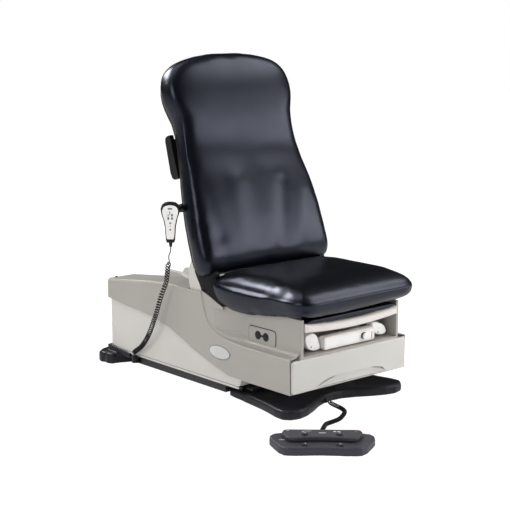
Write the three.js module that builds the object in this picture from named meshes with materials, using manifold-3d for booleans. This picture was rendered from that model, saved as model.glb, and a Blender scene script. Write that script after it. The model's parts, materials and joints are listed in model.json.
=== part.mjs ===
// Barrier free exam table: a powered chair-table with a lifting seat, a reclining back,
// front storage and a foot control. Millimetres, +Z up. The patient faces -Y, X runs across.
// The origin is on the floor, on the centreline, under the middle of the front foot.

import * as THREE from "three";
import { mergeVertices } from "three/addons/utils/BufferGeometryUtils.js";
import Module from "manifold-3d";

const wasm = await Module();
wasm.setup();

// Shared fits
const fit = 0.3; // between pieces that touch
const slideFit = 0.6; // between pieces that slide on each other
const overrun = 6; // how far a cutting shape runs past what it cuts

// Driving sizes of the whole table
const seatWidth = 610;
const seatLength = 520;
const seatRear = 281;
const backLength = 856;
const backHalfWidth = 323;
const baseBottom = 25;
const shroudHalfWidth = 297;
const shroudWall = 4;

// Travel of the moving groups, used where a piece has to leave room for it
const liftTravel = 420;
const backTurn = THREE.MathUtils.degToRad(69);
const backLean = THREE.MathUtils.degToRad(18.5);

const finish = (color, roughness, metalness = 0) =>
  new THREE.MeshStandardMaterial({ color, roughness, metalness });
const finishes = {
  shroud: finish(0xb9b5ae, 0.5),
  paleShroud: finish(0xc9c6bf, 0.5),
  foot: finish(0x3b3b41, 0.6),
  frame: finish(0x1c1c1f, 0.55, 0.3),
  vinyl: finish(0x16181f, 0.35),
  steel: finish(0xb4b6b9, 0.3, 1),
  white: finish(0xe9e7e2, 0.4),
  plastic: finish(0x26262a, 0.55),
  wood: finish(0x2b2927, 0.7),
  zinc: finish(0x8d9095, 0.45, 0.8),
};

// Solids

function solidOf(geometry) {
  const bare = geometry.index ? geometry.clone() : geometry.clone();
  bare.deleteAttribute("normal");
  bare.deleteAttribute("uv");
  const merged = mergeVertices(bare, 1e-4);
  const mesh = new wasm.Mesh({
    numProp: 3,
    vertProperties: new Float32Array(merged.attributes.position.array),
    triVerts: new Uint32Array(merged.index.array),
  });
  return new wasm.Manifold(mesh);
}

function geometryOf(solid) {
  const mesh = solid.getMesh();
  const geometry = new THREE.BufferGeometry();
  geometry.setAttribute("position", new THREE.BufferAttribute(mesh.vertProperties, 3));
  geometry.setIndex(new THREE.BufferAttribute(mesh.triVerts, 1));
  return geometry;
}

const join = (...geometries) =>
  geometryOf(geometries.map(solidOf).reduce((whole, next) => whole.add(next)));
const cut = (body, ...tools) =>
  geometryOf(tools.map(solidOf).reduce((whole, tool) => whole.subtract(tool), solidOf(body)));
const keep = (...geometries) =>
  geometryOf(geometries.map(solidOf).reduce((whole, next) => whole.intersect(next)));

function block([x0, x1], [y0, y1], [z0, z1]) {
  const geometry = new THREE.BoxGeometry(x1 - x0, y1 - y0, z1 - z0);
  return geometry.translate((x0 + x1) / 2, (y0 + y1) / 2, (z0 + z1) / 2);
}

// The same range on the other side of the centreline, and one that spans it
const mirrored = ([low, high]) => [-high, -low];
const across = (half) => [-half, half];
const onSide = (side, range) => (side > 0 ? range : mirrored(range));

function shapeOf(points) {
  return new THREE.Shape(points.map(([u, v]) => new THREE.Vector2(u, v)));
}

// A rectangle with round corners, between two ranges
function roundedRectangle([u0, u1], [v0, v1], radius) {
  const shape = new THREE.Shape();
  shape.moveTo(u0 + radius, v0);
  shape.lineTo(u1 - radius, v0);
  shape.absarc(u1 - radius, v0 + radius, radius, -Math.PI / 2, 0);
  shape.lineTo(u1, v1 - radius);
  shape.absarc(u1 - radius, v1 - radius, radius, 0, Math.PI / 2);
  shape.lineTo(u0 + radius, v1);
  shape.absarc(u0 + radius, v1 - radius, radius, Math.PI / 2, Math.PI);
  shape.lineTo(u0, v0 + radius);
  shape.absarc(u0 + radius, v0 + radius, radius, Math.PI, 1.5 * Math.PI);
  return shape;
}

// A shape drawn from above (x, y), raised from z0 to z1; an edge bevel stays inside the range
function fromAbove(shape, [z0, z1], { edge = 0, steps = 4, rounds = 2 } = {}) {
  const geometry = new THREE.ExtrudeGeometry(shape, {
    depth: z1 - z0 - 2 * edge,
    curveSegments: steps,
    bevelEnabled: edge > 0,
    bevelThickness: edge,
    bevelSize: edge,
    bevelOffset: -edge,
    bevelSegments: rounds,
  });
  return geometry.translate(0, 0, z0 + edge);
}

// A shape drawn from the side (y, z), from x0 to x1
function fromSide(shape, [x0, x1], options) {
  const geometry = fromAbove(shape, [x0, x1], options);
  return geometry.applyMatrix4(
    new THREE.Matrix4().makeBasis(
      new THREE.Vector3(0, 1, 0),
      new THREE.Vector3(0, 0, 1),
      new THREE.Vector3(1, 0, 0),
    ),
  );
}

// A shape drawn from the front (x, z), from y0 to y1
function fromFront(shape, [y0, y1], options) {
  const geometry = fromAbove(shape, [-y1, -y0], options);
  return geometry.applyMatrix4(
    new THREE.Matrix4().makeBasis(
      new THREE.Vector3(1, 0, 0),
      new THREE.Vector3(0, 0, 1),
      new THREE.Vector3(0, -1, 0),
    ),
  );
}

// A round bar along one axis through (a, b) of the other two, in x, y, z order
function rod(axis, radius, [low, high], [a, b], sides = 16, endRadius = radius) {
  const geometry = new THREE.CylinderGeometry(endRadius, radius, high - low, sides);
  geometry.translate(0, (low + high) / 2, 0);
  if (axis === "x") geometry.rotateZ(-Math.PI / 2).translate(0, a, b);
  if (axis === "y") geometry.translate(a, 0, b);
  if (axis === "z") geometry.rotateX(Math.PI / 2).translate(a, b, 0);
  return geometry;
}

// A closed surface through rings of equal count, with a fan at each end
function stitched(rings, startCentre, endCentre) {
  const count = rings[0].length;
  const points = [...rings.flat(), startCentre, endCentre];
  const faces = [];
  for (let ring = 0; ring < rings.length - 1; ring += 1) {
    for (let step = 0; step < count; step += 1) {
      const next = (step + 1) % count;
      const [a, b] = [ring * count + step, ring * count + next];
      const [c, d] = [a + count, b + count];
      faces.push(a, b, d, a, d, c);
    }
  }
  const [start, end] = [points.length - 2, points.length - 1];
  const last = (rings.length - 1) * count;
  for (let step = 0; step < count; step += 1) {
    const next = (step + 1) % count;
    faces.push(start, next, step, end, last + step, last + next);
  }
  const geometry = new THREE.BufferGeometry();
  const flat = new Float32Array(points.flatMap((point) => [point.x, point.y, point.z]));
  geometry.setAttribute("position", new THREE.BufferAttribute(flat, 3));
  geometry.setIndex(faces);
  return geometry;
}

// A tube of one radius along points, with frames carried along so that it never twists
function tube(points, radius, sides) {
  const heading = (index) =>
    points[Math.min(index + 1, points.length - 1)]
      .clone()
      .sub(points[Math.max(index - 1, 0)])
      .normalize();
  let out = new THREE.Vector3(0, 0, 1).cross(heading(0));
  if (out.length() < 0.1) out = new THREE.Vector3(1, 0, 0);
  const rings = points.map((point, index) => {
    const along = heading(index);
    out = out.sub(along.clone().multiplyScalar(out.dot(along))).normalize();
    const side = along.clone().cross(out);
    return Array.from({ length: sides }, (_, step) => {
      const angle = (2 * Math.PI * step) / sides;
      const spoke = out.clone().multiplyScalar(Math.cos(angle));
      spoke.addScaledVector(side, Math.sin(angle));
      return point.clone().addScaledVector(spoke, radius);
    });
  });
  return stitched(rings, points[0].clone(), points.at(-1).clone());
}

const routeOf = (points) =>
  new THREE.CatmullRomCurve3(points.map((point) => new THREE.Vector3(...point)), false, "centripetal");

// The line of a curly cord: a helix round a route, drawn in to the route at both ends
function curls(route, { count, coilRadius, strandRadius }) {
  const stepsPerCurl = 8;
  const total = count * stepsPerCurl;
  const plain = (2 * strandRadius) / route.getLength();
  const points = [route.getPointAt(0), route.getPointAt(plain / 2)];
  let out = new THREE.Vector3(1, 0, 0);
  for (let step = 0; step <= total; step += 1) {
    const share = step / total;
    const place = plain + (1 - 2 * plain) * share;
    const along = route.getTangentAt(place);
    out = out.sub(along.clone().multiplyScalar(out.dot(along))).normalize();
    const side = along.clone().cross(out);
    const reach = Math.min(1, (share * total) / stepsPerCurl, ((1 - share) * total) / stepsPerCurl);
    const angle = (2 * Math.PI * step) / stepsPerCurl;
    const point = route.getPointAt(place);
    point.addScaledVector(out, coilRadius * reach * Math.cos(angle));
    point.addScaledVector(side, coilRadius * reach * Math.sin(angle));
    points.push(point);
  }
  points.push(route.getPointAt(1 - plain / 2), route.getPointAt(1));
  return points;
}

// The least clear distance between one curl and the next, measured on points
function leastGap(points, strandRadius, stepsPerCurl = 8) {
  let least = Infinity;
  for (let i = 0; i < points.length; i += 1) {
    for (let j = i + stepsPerCurl - 2; j < points.length; j += 1) {
      least = Math.min(least, points[i].distanceTo(points[j]));
    }
  }
  return least - 2 * strandRadius;
}

// Groups, and how a piece is put in one

const examTable = new THREE.Group();

function place(name, geometry, material, group = examTable) {
  const mesh = new THREE.Mesh(geometry, material);
  mesh.name = name;
  group.add(mesh);
  return mesh;
}

const sides = [
  ["left", -1],
  ["right", 1],
];

// Base: two rails on a front and a rear foot, with the column plate between them

const rail = {
  inner: 240,
  outer: 262,
  wide: 291,
  front: 130,
  rear: 900,
  top: 52,
  flareFront: 60,
  flareRear: 114,
};
const column = { halfWidth: 112, front: 105, rear: 275, wall: 5, bottom: 52, top: 322, stageFit: 0.5 };
const boxPlate = { front: 470, rear: 680, thickness: 6 };
const columnPlate = { front: 88, rear: 420, thickness: 10 };
const lowerShroud = {
  halfWidth: 290,
  rearReach: 35,
  wall: 4,
  bottom: rail.top + fit,
  frontTop: 214,
  rearTop: 292,
  stepStart: 262,
  stepEnd: 350,
  corner: 12,
  toe: 46,
};
lowerShroud.front = column.front - lowerShroud.wall - 6 * slideFit;
lowerShroud.rear = rail.rear + lowerShroud.rearReach;

function baseFrame() {
  const rails = sides.map(([, side]) =>
    join(
      block(onSide(side, [rail.inner, rail.outer]), [rail.front, rail.rear], [baseBottom, rail.top]),
      block(
        onSide(side, [rail.inner, rail.wide]),
        [rail.front + rail.flareFront, rail.rear - rail.flareRear],
        [baseBottom, rail.top],
      ),
    ),
  );
  const plate = block(
    across(rail.inner + overrun),
    [columnPlate.front, columnPlate.rear],
    [rail.top - columnPlate.thickness, rail.top],
  );
  const tray = block(
    across(rail.inner + overrun),
    [boxPlate.front, boxPlate.rear],
    [rail.top - boxPlate.thickness, rail.top],
  );
  return join(...rails, plate, tray);
}
place("base_frame", baseFrame(), finishes.frame);

const frontFoot = { height: 38, edge: 10, half: 308, toe: -188, rear: 187, shift: -9, archFront: 45, archRise: 10 };
frontFoot.depth = frontFoot.rear - frontFoot.toe;
const footGland = { x: -66, z: 17, radius: 9, reach: 30 };
footGland.rear = frontFoot.toe + 0.25 * frontFoot.depth;
footGland.front = footGland.rear - footGland.reach;
const frontFootShares = {
  out: [0, 0.137, 0.305, 0.488, 0.655, 0.8, 0.925, 1, 0.99, 0.945, 0.91, 0.885, 0.87, 0.868],
  back: [0.236, 0.228, 0.172, 0.088, 0.026, 0, 0.026, 0.1, 0.21, 0.36, 0.5, 0.655, 0.83, 1],
};
const railPocket = (side) =>
  block(
    onSide(side, [rail.inner - fit, rail.outer + fit]),
    [rail.front - fit, rail.rear + fit],
    [baseBottom - fit, rail.top + overrun],
  );

function frontFootSolid() {
  const f = frontFoot;
  const half = frontFootShares.out.map((share, index) => [
    f.half * share,
    f.toe + f.depth * frontFootShares.back[index],
  ]);
  const outline = [...half, ...half.slice(1).reverse().map(([x, y]) => [-x, y])];
  const slab = fromAbove(shapeOf(outline), [0, f.height], { edge: f.edge, rounds: 3 });
  slab.translate(f.shift, 0, 0);
  const boss = rod("y", footGland.radius, [footGland.front, footGland.rear], [footGland.x, footGland.z]);
  const arch = fromSide(
    shapeOf([
      [f.archFront, -overrun],
      [f.rear + overrun, -overrun],
      [f.rear + overrun, f.archRise],
      [f.archFront, 0],
    ]),
    across(2 * f.half),
  );
  return cut(join(slab, boss), arch, ...sides.map(([, side]) => railPocket(side)));
}
place("front_foot", frontFootSolid(), finishes.foot);

const rearFoot = {
  height: 45,
  edge: 11,
  overlap: 66,
  depth: 172,
  half: 352,
  lipWidth: 12,
  lipTop: 70,
  lipBottom: 37,
  lipTip: 57,
  lipReach: 44,
  lipFlat: 54,
  lipStartTop: 58,
};
rearFoot.front = rail.rear - rearFoot.overlap;
rearFoot.lipStart = rearFoot.front - rearFoot.lipReach;
rearFoot.lipBend = rearFoot.front + rearFoot.lipFlat;
const rearFootShares = {
  out: [0.61, 0.742, 0.85, 0.929, 0.962, 0.95, 0.972, 0.958, 0.88, 0.74, 0.55],
  back: [0, 0.125, 0.215, 0.24, 0.371, 0.483, 0.584, 0.72, 0.85, 0.95, 0.99],
};

function rearFootSolid() {
  const f = rearFoot;
  const half = rearFootShares.out.map((share, index) => [
    f.half * share,
    f.front + f.depth * rearFootShares.back[index],
  ]);
  const outline = [...half, ...half.slice().reverse().map(([x, y]) => [-x, y])];
  const slab = fromAbove(shapeOf(outline), [-f.edge, f.height], { edge: f.edge, rounds: 3 });
  const floorCut = block(across(2 * f.half), [0, 2 * (f.front + f.depth)], [-2 * f.edge, 0]);
  const lipOutside = lowerShroud.halfWidth + fit + f.lipWidth;
  const lipRear = lowerShroud.rear + fit + f.lipWidth;
  const lip = fromSide(
    shapeOf([
      [f.lipStart, f.lipBottom],
      [f.lipBend, f.lipBottom],
      [lipRear, f.lipTip],
      [lipRear, f.lipTop],
      [lipRear - 2 * f.lipWidth, f.lipTop],
      [f.lipStart, f.lipStartTop],
    ]),
    across(lipOutside),
  );
  const shroudSeat = block(
    across(lowerShroud.halfWidth + fit),
    [0, lowerShroud.rear + fit],
    [rail.top, f.lipTop + overrun],
  );
  return cut(join(cut(slab, floorCut), lip), shroudSeat, ...sides.map(([, side]) => railPocket(side)));
}
place("rear_foot", rearFootSolid(), finishes.foot);

// The lower shroud: a closed cover on the rails, with a hole in its top for the column
function lowerShroudSolid() {
  const s = lowerShroud;
  const outline = (inset) =>
    shapeOf([
      [s.front + inset + s.toe, s.bottom - (inset ? overrun : 0)],
      [s.rear - inset, s.bottom - (inset ? overrun : 0)],
      [s.rear - inset, s.rearTop - inset],
      [s.stepEnd + inset, s.rearTop - inset],
      [s.stepStart + inset, s.frontTop - inset],
      [s.front + inset, s.frontTop - inset],
      [s.front + inset, s.bottom + s.toe],
      [s.front + inset + 0.3 * s.toe, s.bottom + 0.3 * s.toe],
    ]);
  const plan = (inset, low) =>
    fromAbove(
      roundedRectangle(
        across(s.halfWidth - inset),
        [s.front + inset, s.rear - inset],
        s.corner - inset,
      ),
      [low, s.rearTop + overrun],
    );
  const outer = keep(fromSide(outline(0), across(s.halfWidth)), plan(0, s.bottom - overrun));
  const inner = keep(
    fromSide(outline(s.wall), across(s.halfWidth)),
    plan(s.wall, s.bottom - 2 * overrun),
  );
  const columnHole = block(
    across(column.halfWidth + slideFit),
    [column.front - slideFit, column.rear + slideFit],
    [s.bottom, s.rearTop + overrun],
  );
  return cut(outer, inner, columnHole);
}
place("lower_shroud", lowerShroudSolid(), finishes.paleShroud);

// The lifting column: three square tubes, each sliding in the one outside it
const columnStage = (stage, [bottom, top]) => {
  const inset = stage * (column.wall + column.stageFit);
  const ring = (more) => [
    across(column.halfWidth - inset - more),
    [column.front + inset + more, column.rear - inset - more],
  ];
  return cut(block(...ring(0), [bottom, top]), block(...ring(column.wall), [bottom - overrun, top + overrun]));
};
const stageDrop = 6;
const rimTop = 361;
const seatFrame = {
  inner: 237,
  outer: 249,
  bottom: rimTop + fit,
  top: 372,
  front: -165,
  rear: 334,
  bridgeRear: 228,
  bridgeBottom: 334,
};
place("column_outer", columnStage(0, [column.bottom + fit, column.top]), finishes.steel);
const middleStage = new THREE.Group();
const lift = new THREE.Group();
place(
  "column_middle",
  columnStage(1, [column.bottom + stageDrop, column.top + stageDrop / 2]),
  finishes.steel,
  middleStage,
);
const columnCap = { thickness: 5 };
place(
  "column_inner",
  join(
    columnStage(2, [column.bottom + 2 * stageDrop, seatFrame.bridgeBottom - fit]),
    block(
      across(column.halfWidth - 2 * (column.wall + column.stageFit)),
      [
        column.front + 2 * (column.wall + column.stageFit),
        column.rear - 2 * (column.wall + column.stageFit),
      ],
      [seatFrame.bridgeBottom - fit - columnCap.thickness, seatFrame.bridgeBottom - fit],
    ),
  ),
  finishes.steel,
  lift,
);

const liftMotor = { radius: 44, front: 284, length: 120, neckRadius: 24, height: 104, cradle: 10 };
place(
  "lift_motor",
  join(
    rod("y", liftMotor.radius, [liftMotor.front, liftMotor.front + liftMotor.length], [0, liftMotor.height]),
    rod("y", liftMotor.neckRadius, [column.rear + fit, liftMotor.front + overrun], [0, liftMotor.height]),
    block(
      across(liftMotor.neckRadius),
      [liftMotor.front + liftMotor.cradle, liftMotor.front + liftMotor.length - liftMotor.cradle],
      [rail.top + fit, liftMotor.height],
    ),
  ),
  finishes.zinc,
);

const controlBox = { half: 120, front: 490, rear: 660, height: 96, corner: 10, edge: 3 };
place(
  "control_box",
  fromAbove(
    roundedRectangle(across(controlBox.half), [controlBox.front, controlBox.rear], controlBox.corner),
    [rail.top + fit, rail.top + fit + controlBox.height],
    { edge: controlBox.edge },
  ),
  finishes.plastic,
);

const inlet = { x: 150, width: 50, height: 30, depth: 14, z: 104, recess: 9, lip: 4 };
const inletBox = (more, [y0, y1]) =>
  block(
    [inlet.x - inlet.width / 2 - more, inlet.x + inlet.width / 2 + more],
    [y0, y1],
    [inlet.z - inlet.height / 2 - more, inlet.z + inlet.height / 2 + more],
  );
place(
  "mains_inlet",
  cut(
    inletBox(0, [lowerShroud.rear + fit, lowerShroud.rear + fit + inlet.depth]),
    inletBox(-inlet.lip, [lowerShroud.rear + fit + inlet.depth - inlet.recess, lowerShroud.rear + inlet.depth + overrun]),
  ),
  finishes.plastic,
);

// Lift: the seat frame on the column, its board and cushion

const hinge = { y: 306, z: 436, pinRadius: 7, bossRadius: 11.5, bracket: [238, 246], arm: [226, 236] };

function seatFrameSolid() {
  const f = seatFrame;
  const bars = sides.map(([, side]) =>
    block(onSide(side, [f.inner, f.outer]), [f.front, f.rear], [f.bottom, f.top]),
  );
  const bridge = block(across(f.inner + overrun), [column.front, f.bridgeRear], [f.bridgeBottom, f.top]);
  const ears = sides.map(([, side]) =>
    join(
      block(
        onSide(side, hinge.bracket),
        [hinge.y - hinge.bossRadius, hinge.y + hinge.bossRadius],
        [f.bottom, hinge.z],
      ),
      rod("x", hinge.bossRadius, onSide(side, hinge.bracket), [hinge.y, hinge.z]),
    ),
  );
  const bores = sides.map(([, side]) =>
    rod("x", hinge.pinRadius + fit, onSide(side, [hinge.bracket[0] - overrun, f.outer + overrun]), [
      hinge.y,
      hinge.z,
    ]),
  );
  return cut(join(...bars, bridge, ...ears), ...bores);
}
place("seat_frame", seatFrameSolid(), finishes.frame, lift);

for (const [name, side] of sides) {
  place(
    `back_pivot_pin_${name}`,
    rod("x", hinge.pinRadius, onSide(side, [hinge.arm[0] - 3 * slideFit, hinge.bracket[1]]), [
      hinge.y,
      hinge.z,
    ]),
    finishes.steel,
    lift,
  );
}

const board = { half: 238, front: -196, rear: 238, thickness: 12, corner: 40 };
board.bottom = seatFrame.top + fit;
board.top = board.bottom + board.thickness;
place(
  "seat_board",
  fromAbove(roundedRectangle(across(board.half), [board.front, board.rear], board.corner), [
    board.bottom,
    board.top,
  ]),
  finishes.wood,
  lift,
);

// A cushion outline as points: a rectangle with round corners, the same count for every ring
function outlinePoints([u0, u1], [v0, v1], [nearRadius, farRadius], stepsPerCorner, stepsPerSide) {
  const points = [];
  const corners = [
    [u0 + nearRadius, v0 + nearRadius, Math.PI, nearRadius],
    [u1 - nearRadius, v0 + nearRadius, 1.5 * Math.PI, nearRadius],
    [u1 - farRadius, v1 - farRadius, 0, farRadius],
    [u0 + farRadius, v1 - farRadius, Math.PI / 2, farRadius],
  ];
  corners.forEach(([cu, cv, start, radius], index) => {
    for (let step = 0; step <= stepsPerCorner; step += 1) {
      const angle = start + ((Math.PI / 2) * step) / stepsPerCorner;
      points.push([cu + radius * Math.cos(angle), cv + radius * Math.sin(angle)]);
    }
    const from = points.at(-1);
    const [nu, nv, nextStart, nextRadius] = corners[(index + 1) % corners.length];
    const to = [nu + nextRadius * Math.cos(nextStart), nv + nextRadius * Math.sin(nextStart)];
    for (let step = 1; step < stepsPerSide; step += 1) {
      const share = step / stepsPerSide;
      points.push([from[0] + (to[0] - from[0]) * share, from[1] + (to[1] - from[1]) * share]);
    }
  });
  return points;
}

const between = (low, high, share) => low + (high - low) * Math.min(1, Math.max(0, share));
const eased = (share) => {
  const held = Math.min(1, Math.max(0, share));
  return held * held * (3 - 2 * held);
};

// Seat cushion: crowned on top, drawn in at the sides, with a skirt that hides the frame
const seat = {
  front: seatRear - seatLength,
  rear: seatRear,
  half: seatWidth / 2,
  edgeTop: 482,
  crown: 11,
  frontSkirt: 389,
  deepSkirt: 353,
  rearSkirt: 404,
  frontCorner: 62,
  rearCorner: 40,
  skirtWidth: 50,
  drawIn: 5,
  seam: 26,
  shoulder: 34,
  frontDrop: 22,
  rearDrop: 27,
};
const seatSkirtShares = { deepStart: 0.62, deepEnd: 0.88 };

function seatSkirt(y) {
  const share = (y - seat.front) / seatLength;
  const down = eased(share / seatSkirtShares.deepStart);
  const up = eased((share - seatSkirtShares.deepEnd) / (1 - seatSkirtShares.deepEnd));
  return between(between(seat.frontSkirt, seat.deepSkirt, down), seat.rearSkirt, up);
}

function seatTop(y) {
  const share = (y - seat.front) / seatLength;
  return seat.edgeTop - seat.frontDrop * (1 - eased(share * 4)) - seat.rearDrop * eased((share - 0.86) * 7);
}

function seatCushionSolid() {
  const ring = (inset, height, pull = 0) =>
    outlinePoints(
      [-seat.half + inset, seat.half - inset],
      [seat.front + inset, seat.rear - inset],
      [Math.max(seat.frontCorner - inset, seat.drawIn), Math.max(seat.rearCorner - inset, seat.drawIn)],
      4,
      5,
    ).map(([x, y]) => {
      const side = Math.sin((Math.PI * (y - seat.front)) / seatLength);
      const reach = Math.abs(x) > seat.half - inset - 1e-3 ? Math.sign(x) * pull * side : 0;
      return new THREE.Vector3(x - reach, y, height(x, y));
    });
  const floor = board.top + fit;
  const underside = (x, y) =>
    Math.abs(x) > seat.half - seat.skirtWidth ? seatSkirt(y) : Math.max(floor, seatSkirt(y));
  const skirtTo = (share) => (x, y) => between(underside(x, y), seatTop(y), share);
  const crowned = (share) => (x, y) =>
    seatTop(y) + seat.crown * share * Math.sin((Math.PI * (y - seat.front)) / seatLength);
  const rings = [
    ring(seat.skirtWidth + seat.seam, () => floor),
    ring(seat.skirtWidth, (x, y) => Math.max(floor, seatSkirt(y))),
    ring(seat.skirtWidth - seat.drawIn, skirtTo(0.03)),
    ring(seat.seam, skirtTo(0)),
    ring(seat.drawIn, skirtTo(0.14), seat.drawIn),
    ring(0, skirtTo(0.42), seat.drawIn),
    ring(0, skirtTo(0.66), seat.drawIn),
    ring(seat.drawIn, skirtTo(0.86), seat.drawIn),
    ring(seat.seam / 2, skirtTo(0.97)),
    ring(seat.shoulder, crowned(0.15)),
    ring(2.2 * seat.shoulder, crowned(0.55)),
    ring(4.5 * seat.shoulder, crowned(0.9)),
  ];
  const middle = (seat.front + seat.rear) / 2;
  return stitched(
    rings,
    new THREE.Vector3(0, middle, floor),
    new THREE.Vector3(0, middle, seat.edgeTop + seat.crown),
  );
}
place("seat_cushion", seatCushionSolid(), finishes.vinyl, lift);

// Upper shroud: one moulded shell, wide below its shoulder and narrower above it, with two rims
// beside an open channel behind the seat

const shroud = {
  front: -172,
  rear: 941,
  hem: 93,
  rearHem: 268,
  shoulder: 228,
  shoulderDepth: 45,
  shoulderRise: 16,
  frontHalf: 252,
  waistHalf: 291,
  flareStart: 118,
  flareEnd: 250,
  flareTop: 349,
  faceFront: -179,
  rimTop,
  deckFront: 388,
  deckRear: 337,
  deckCrown: 10,
  crownStart: 430,
  crownEnd: 640,
  ledgeRise: 4,
};
const hem = { flatEnd: 90, riseShares: [0, 0.095, 0.19, 0.33, 0.42, 0.515, 0.64, 0.74, 0.865, 1] };
hem.heightShares = [0, 0.02, 0.14, 0.35, 0.53, 0.7, 0.83, 0.89, 0.93, 1];
const crease = {
  straightEnd: 135,
  top: 330,
  outShares: [0, 0.28, 0.51, 0.67, 0.795, 0.88, 1],
  upShares: [0, 0.075, 0.19, 0.275, 0.48, 0.71, 1],
};
const deck = {
  shares: [0, 0.15, 0.34, 0.53, 0.74, 1],
  fallShares: [0, 0.02, 0.08, 0.31, 0.63, 1],
};

const hemLine = hem.riseShares.map((share, index) => [
  between(hem.flatEnd, shroud.rear, share),
  between(shroud.hem, shroud.rearHem, hem.heightShares[index]),
]);
const creaseLine = crease.outShares.map((share, index) => [
  between(crease.straightEnd, crease.top, share),
  between(shroud.shoulder, shroud.deckFront, crease.upShares[index]),
]);
const deckLine = deck.shares.map((share, index) => [
  between(crease.top, shroud.rear, share),
  between(shroud.deckFront, shroud.deckRear, deck.fallShares[index]),
]);

// A closed outline moved inwards (a negative distance) or outwards along its corners
function offsetOutline(points, distance) {
  return points.map(([u, v], index) => {
    const [pu, pv] = points[(index + points.length - 1) % points.length];
    const [nu, nv] = points[(index + 1) % points.length];
    const before = new THREE.Vector2(u - pu, v - pv).normalize();
    const after = new THREE.Vector2(nu - u, nv - v).normalize();
    const normal = new THREE.Vector2(before.y + after.y, -before.x - after.x).normalize();
    const stretch = 1 / Math.max(0.5, normal.dot(new THREE.Vector2(before.y, -before.x)));
    return [u + normal.x * distance * stretch, v + normal.y * distance * stretch];
  });
}

const channel = { half: 165, front: 425, floor: 306, wall: 4 };
const mouth = { half: 238, floor: 225, floorThickness: 5, rear: 99 };
const drawerMouth = { half: 283, top: 214 };
const shelf = { inner: 250, front: -172, rear: 90, top: 101.5, thickness: 4 };
const pivotSlot = { front: 256, rear: channel.front, half: 285 };
const panRib = { x: 104, width: 10, height: 2.7, front: -160, rear: 92 };

const wideOutline = [
  [shroud.front, shroud.hem],
  ...hemLine,
  [shroud.rear, shroud.deckRear],
  ...deckLine.slice(1, -1).reverse(),
  ...creaseLine.slice().reverse(),
  [shroud.front, shroud.shoulder],
];

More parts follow.
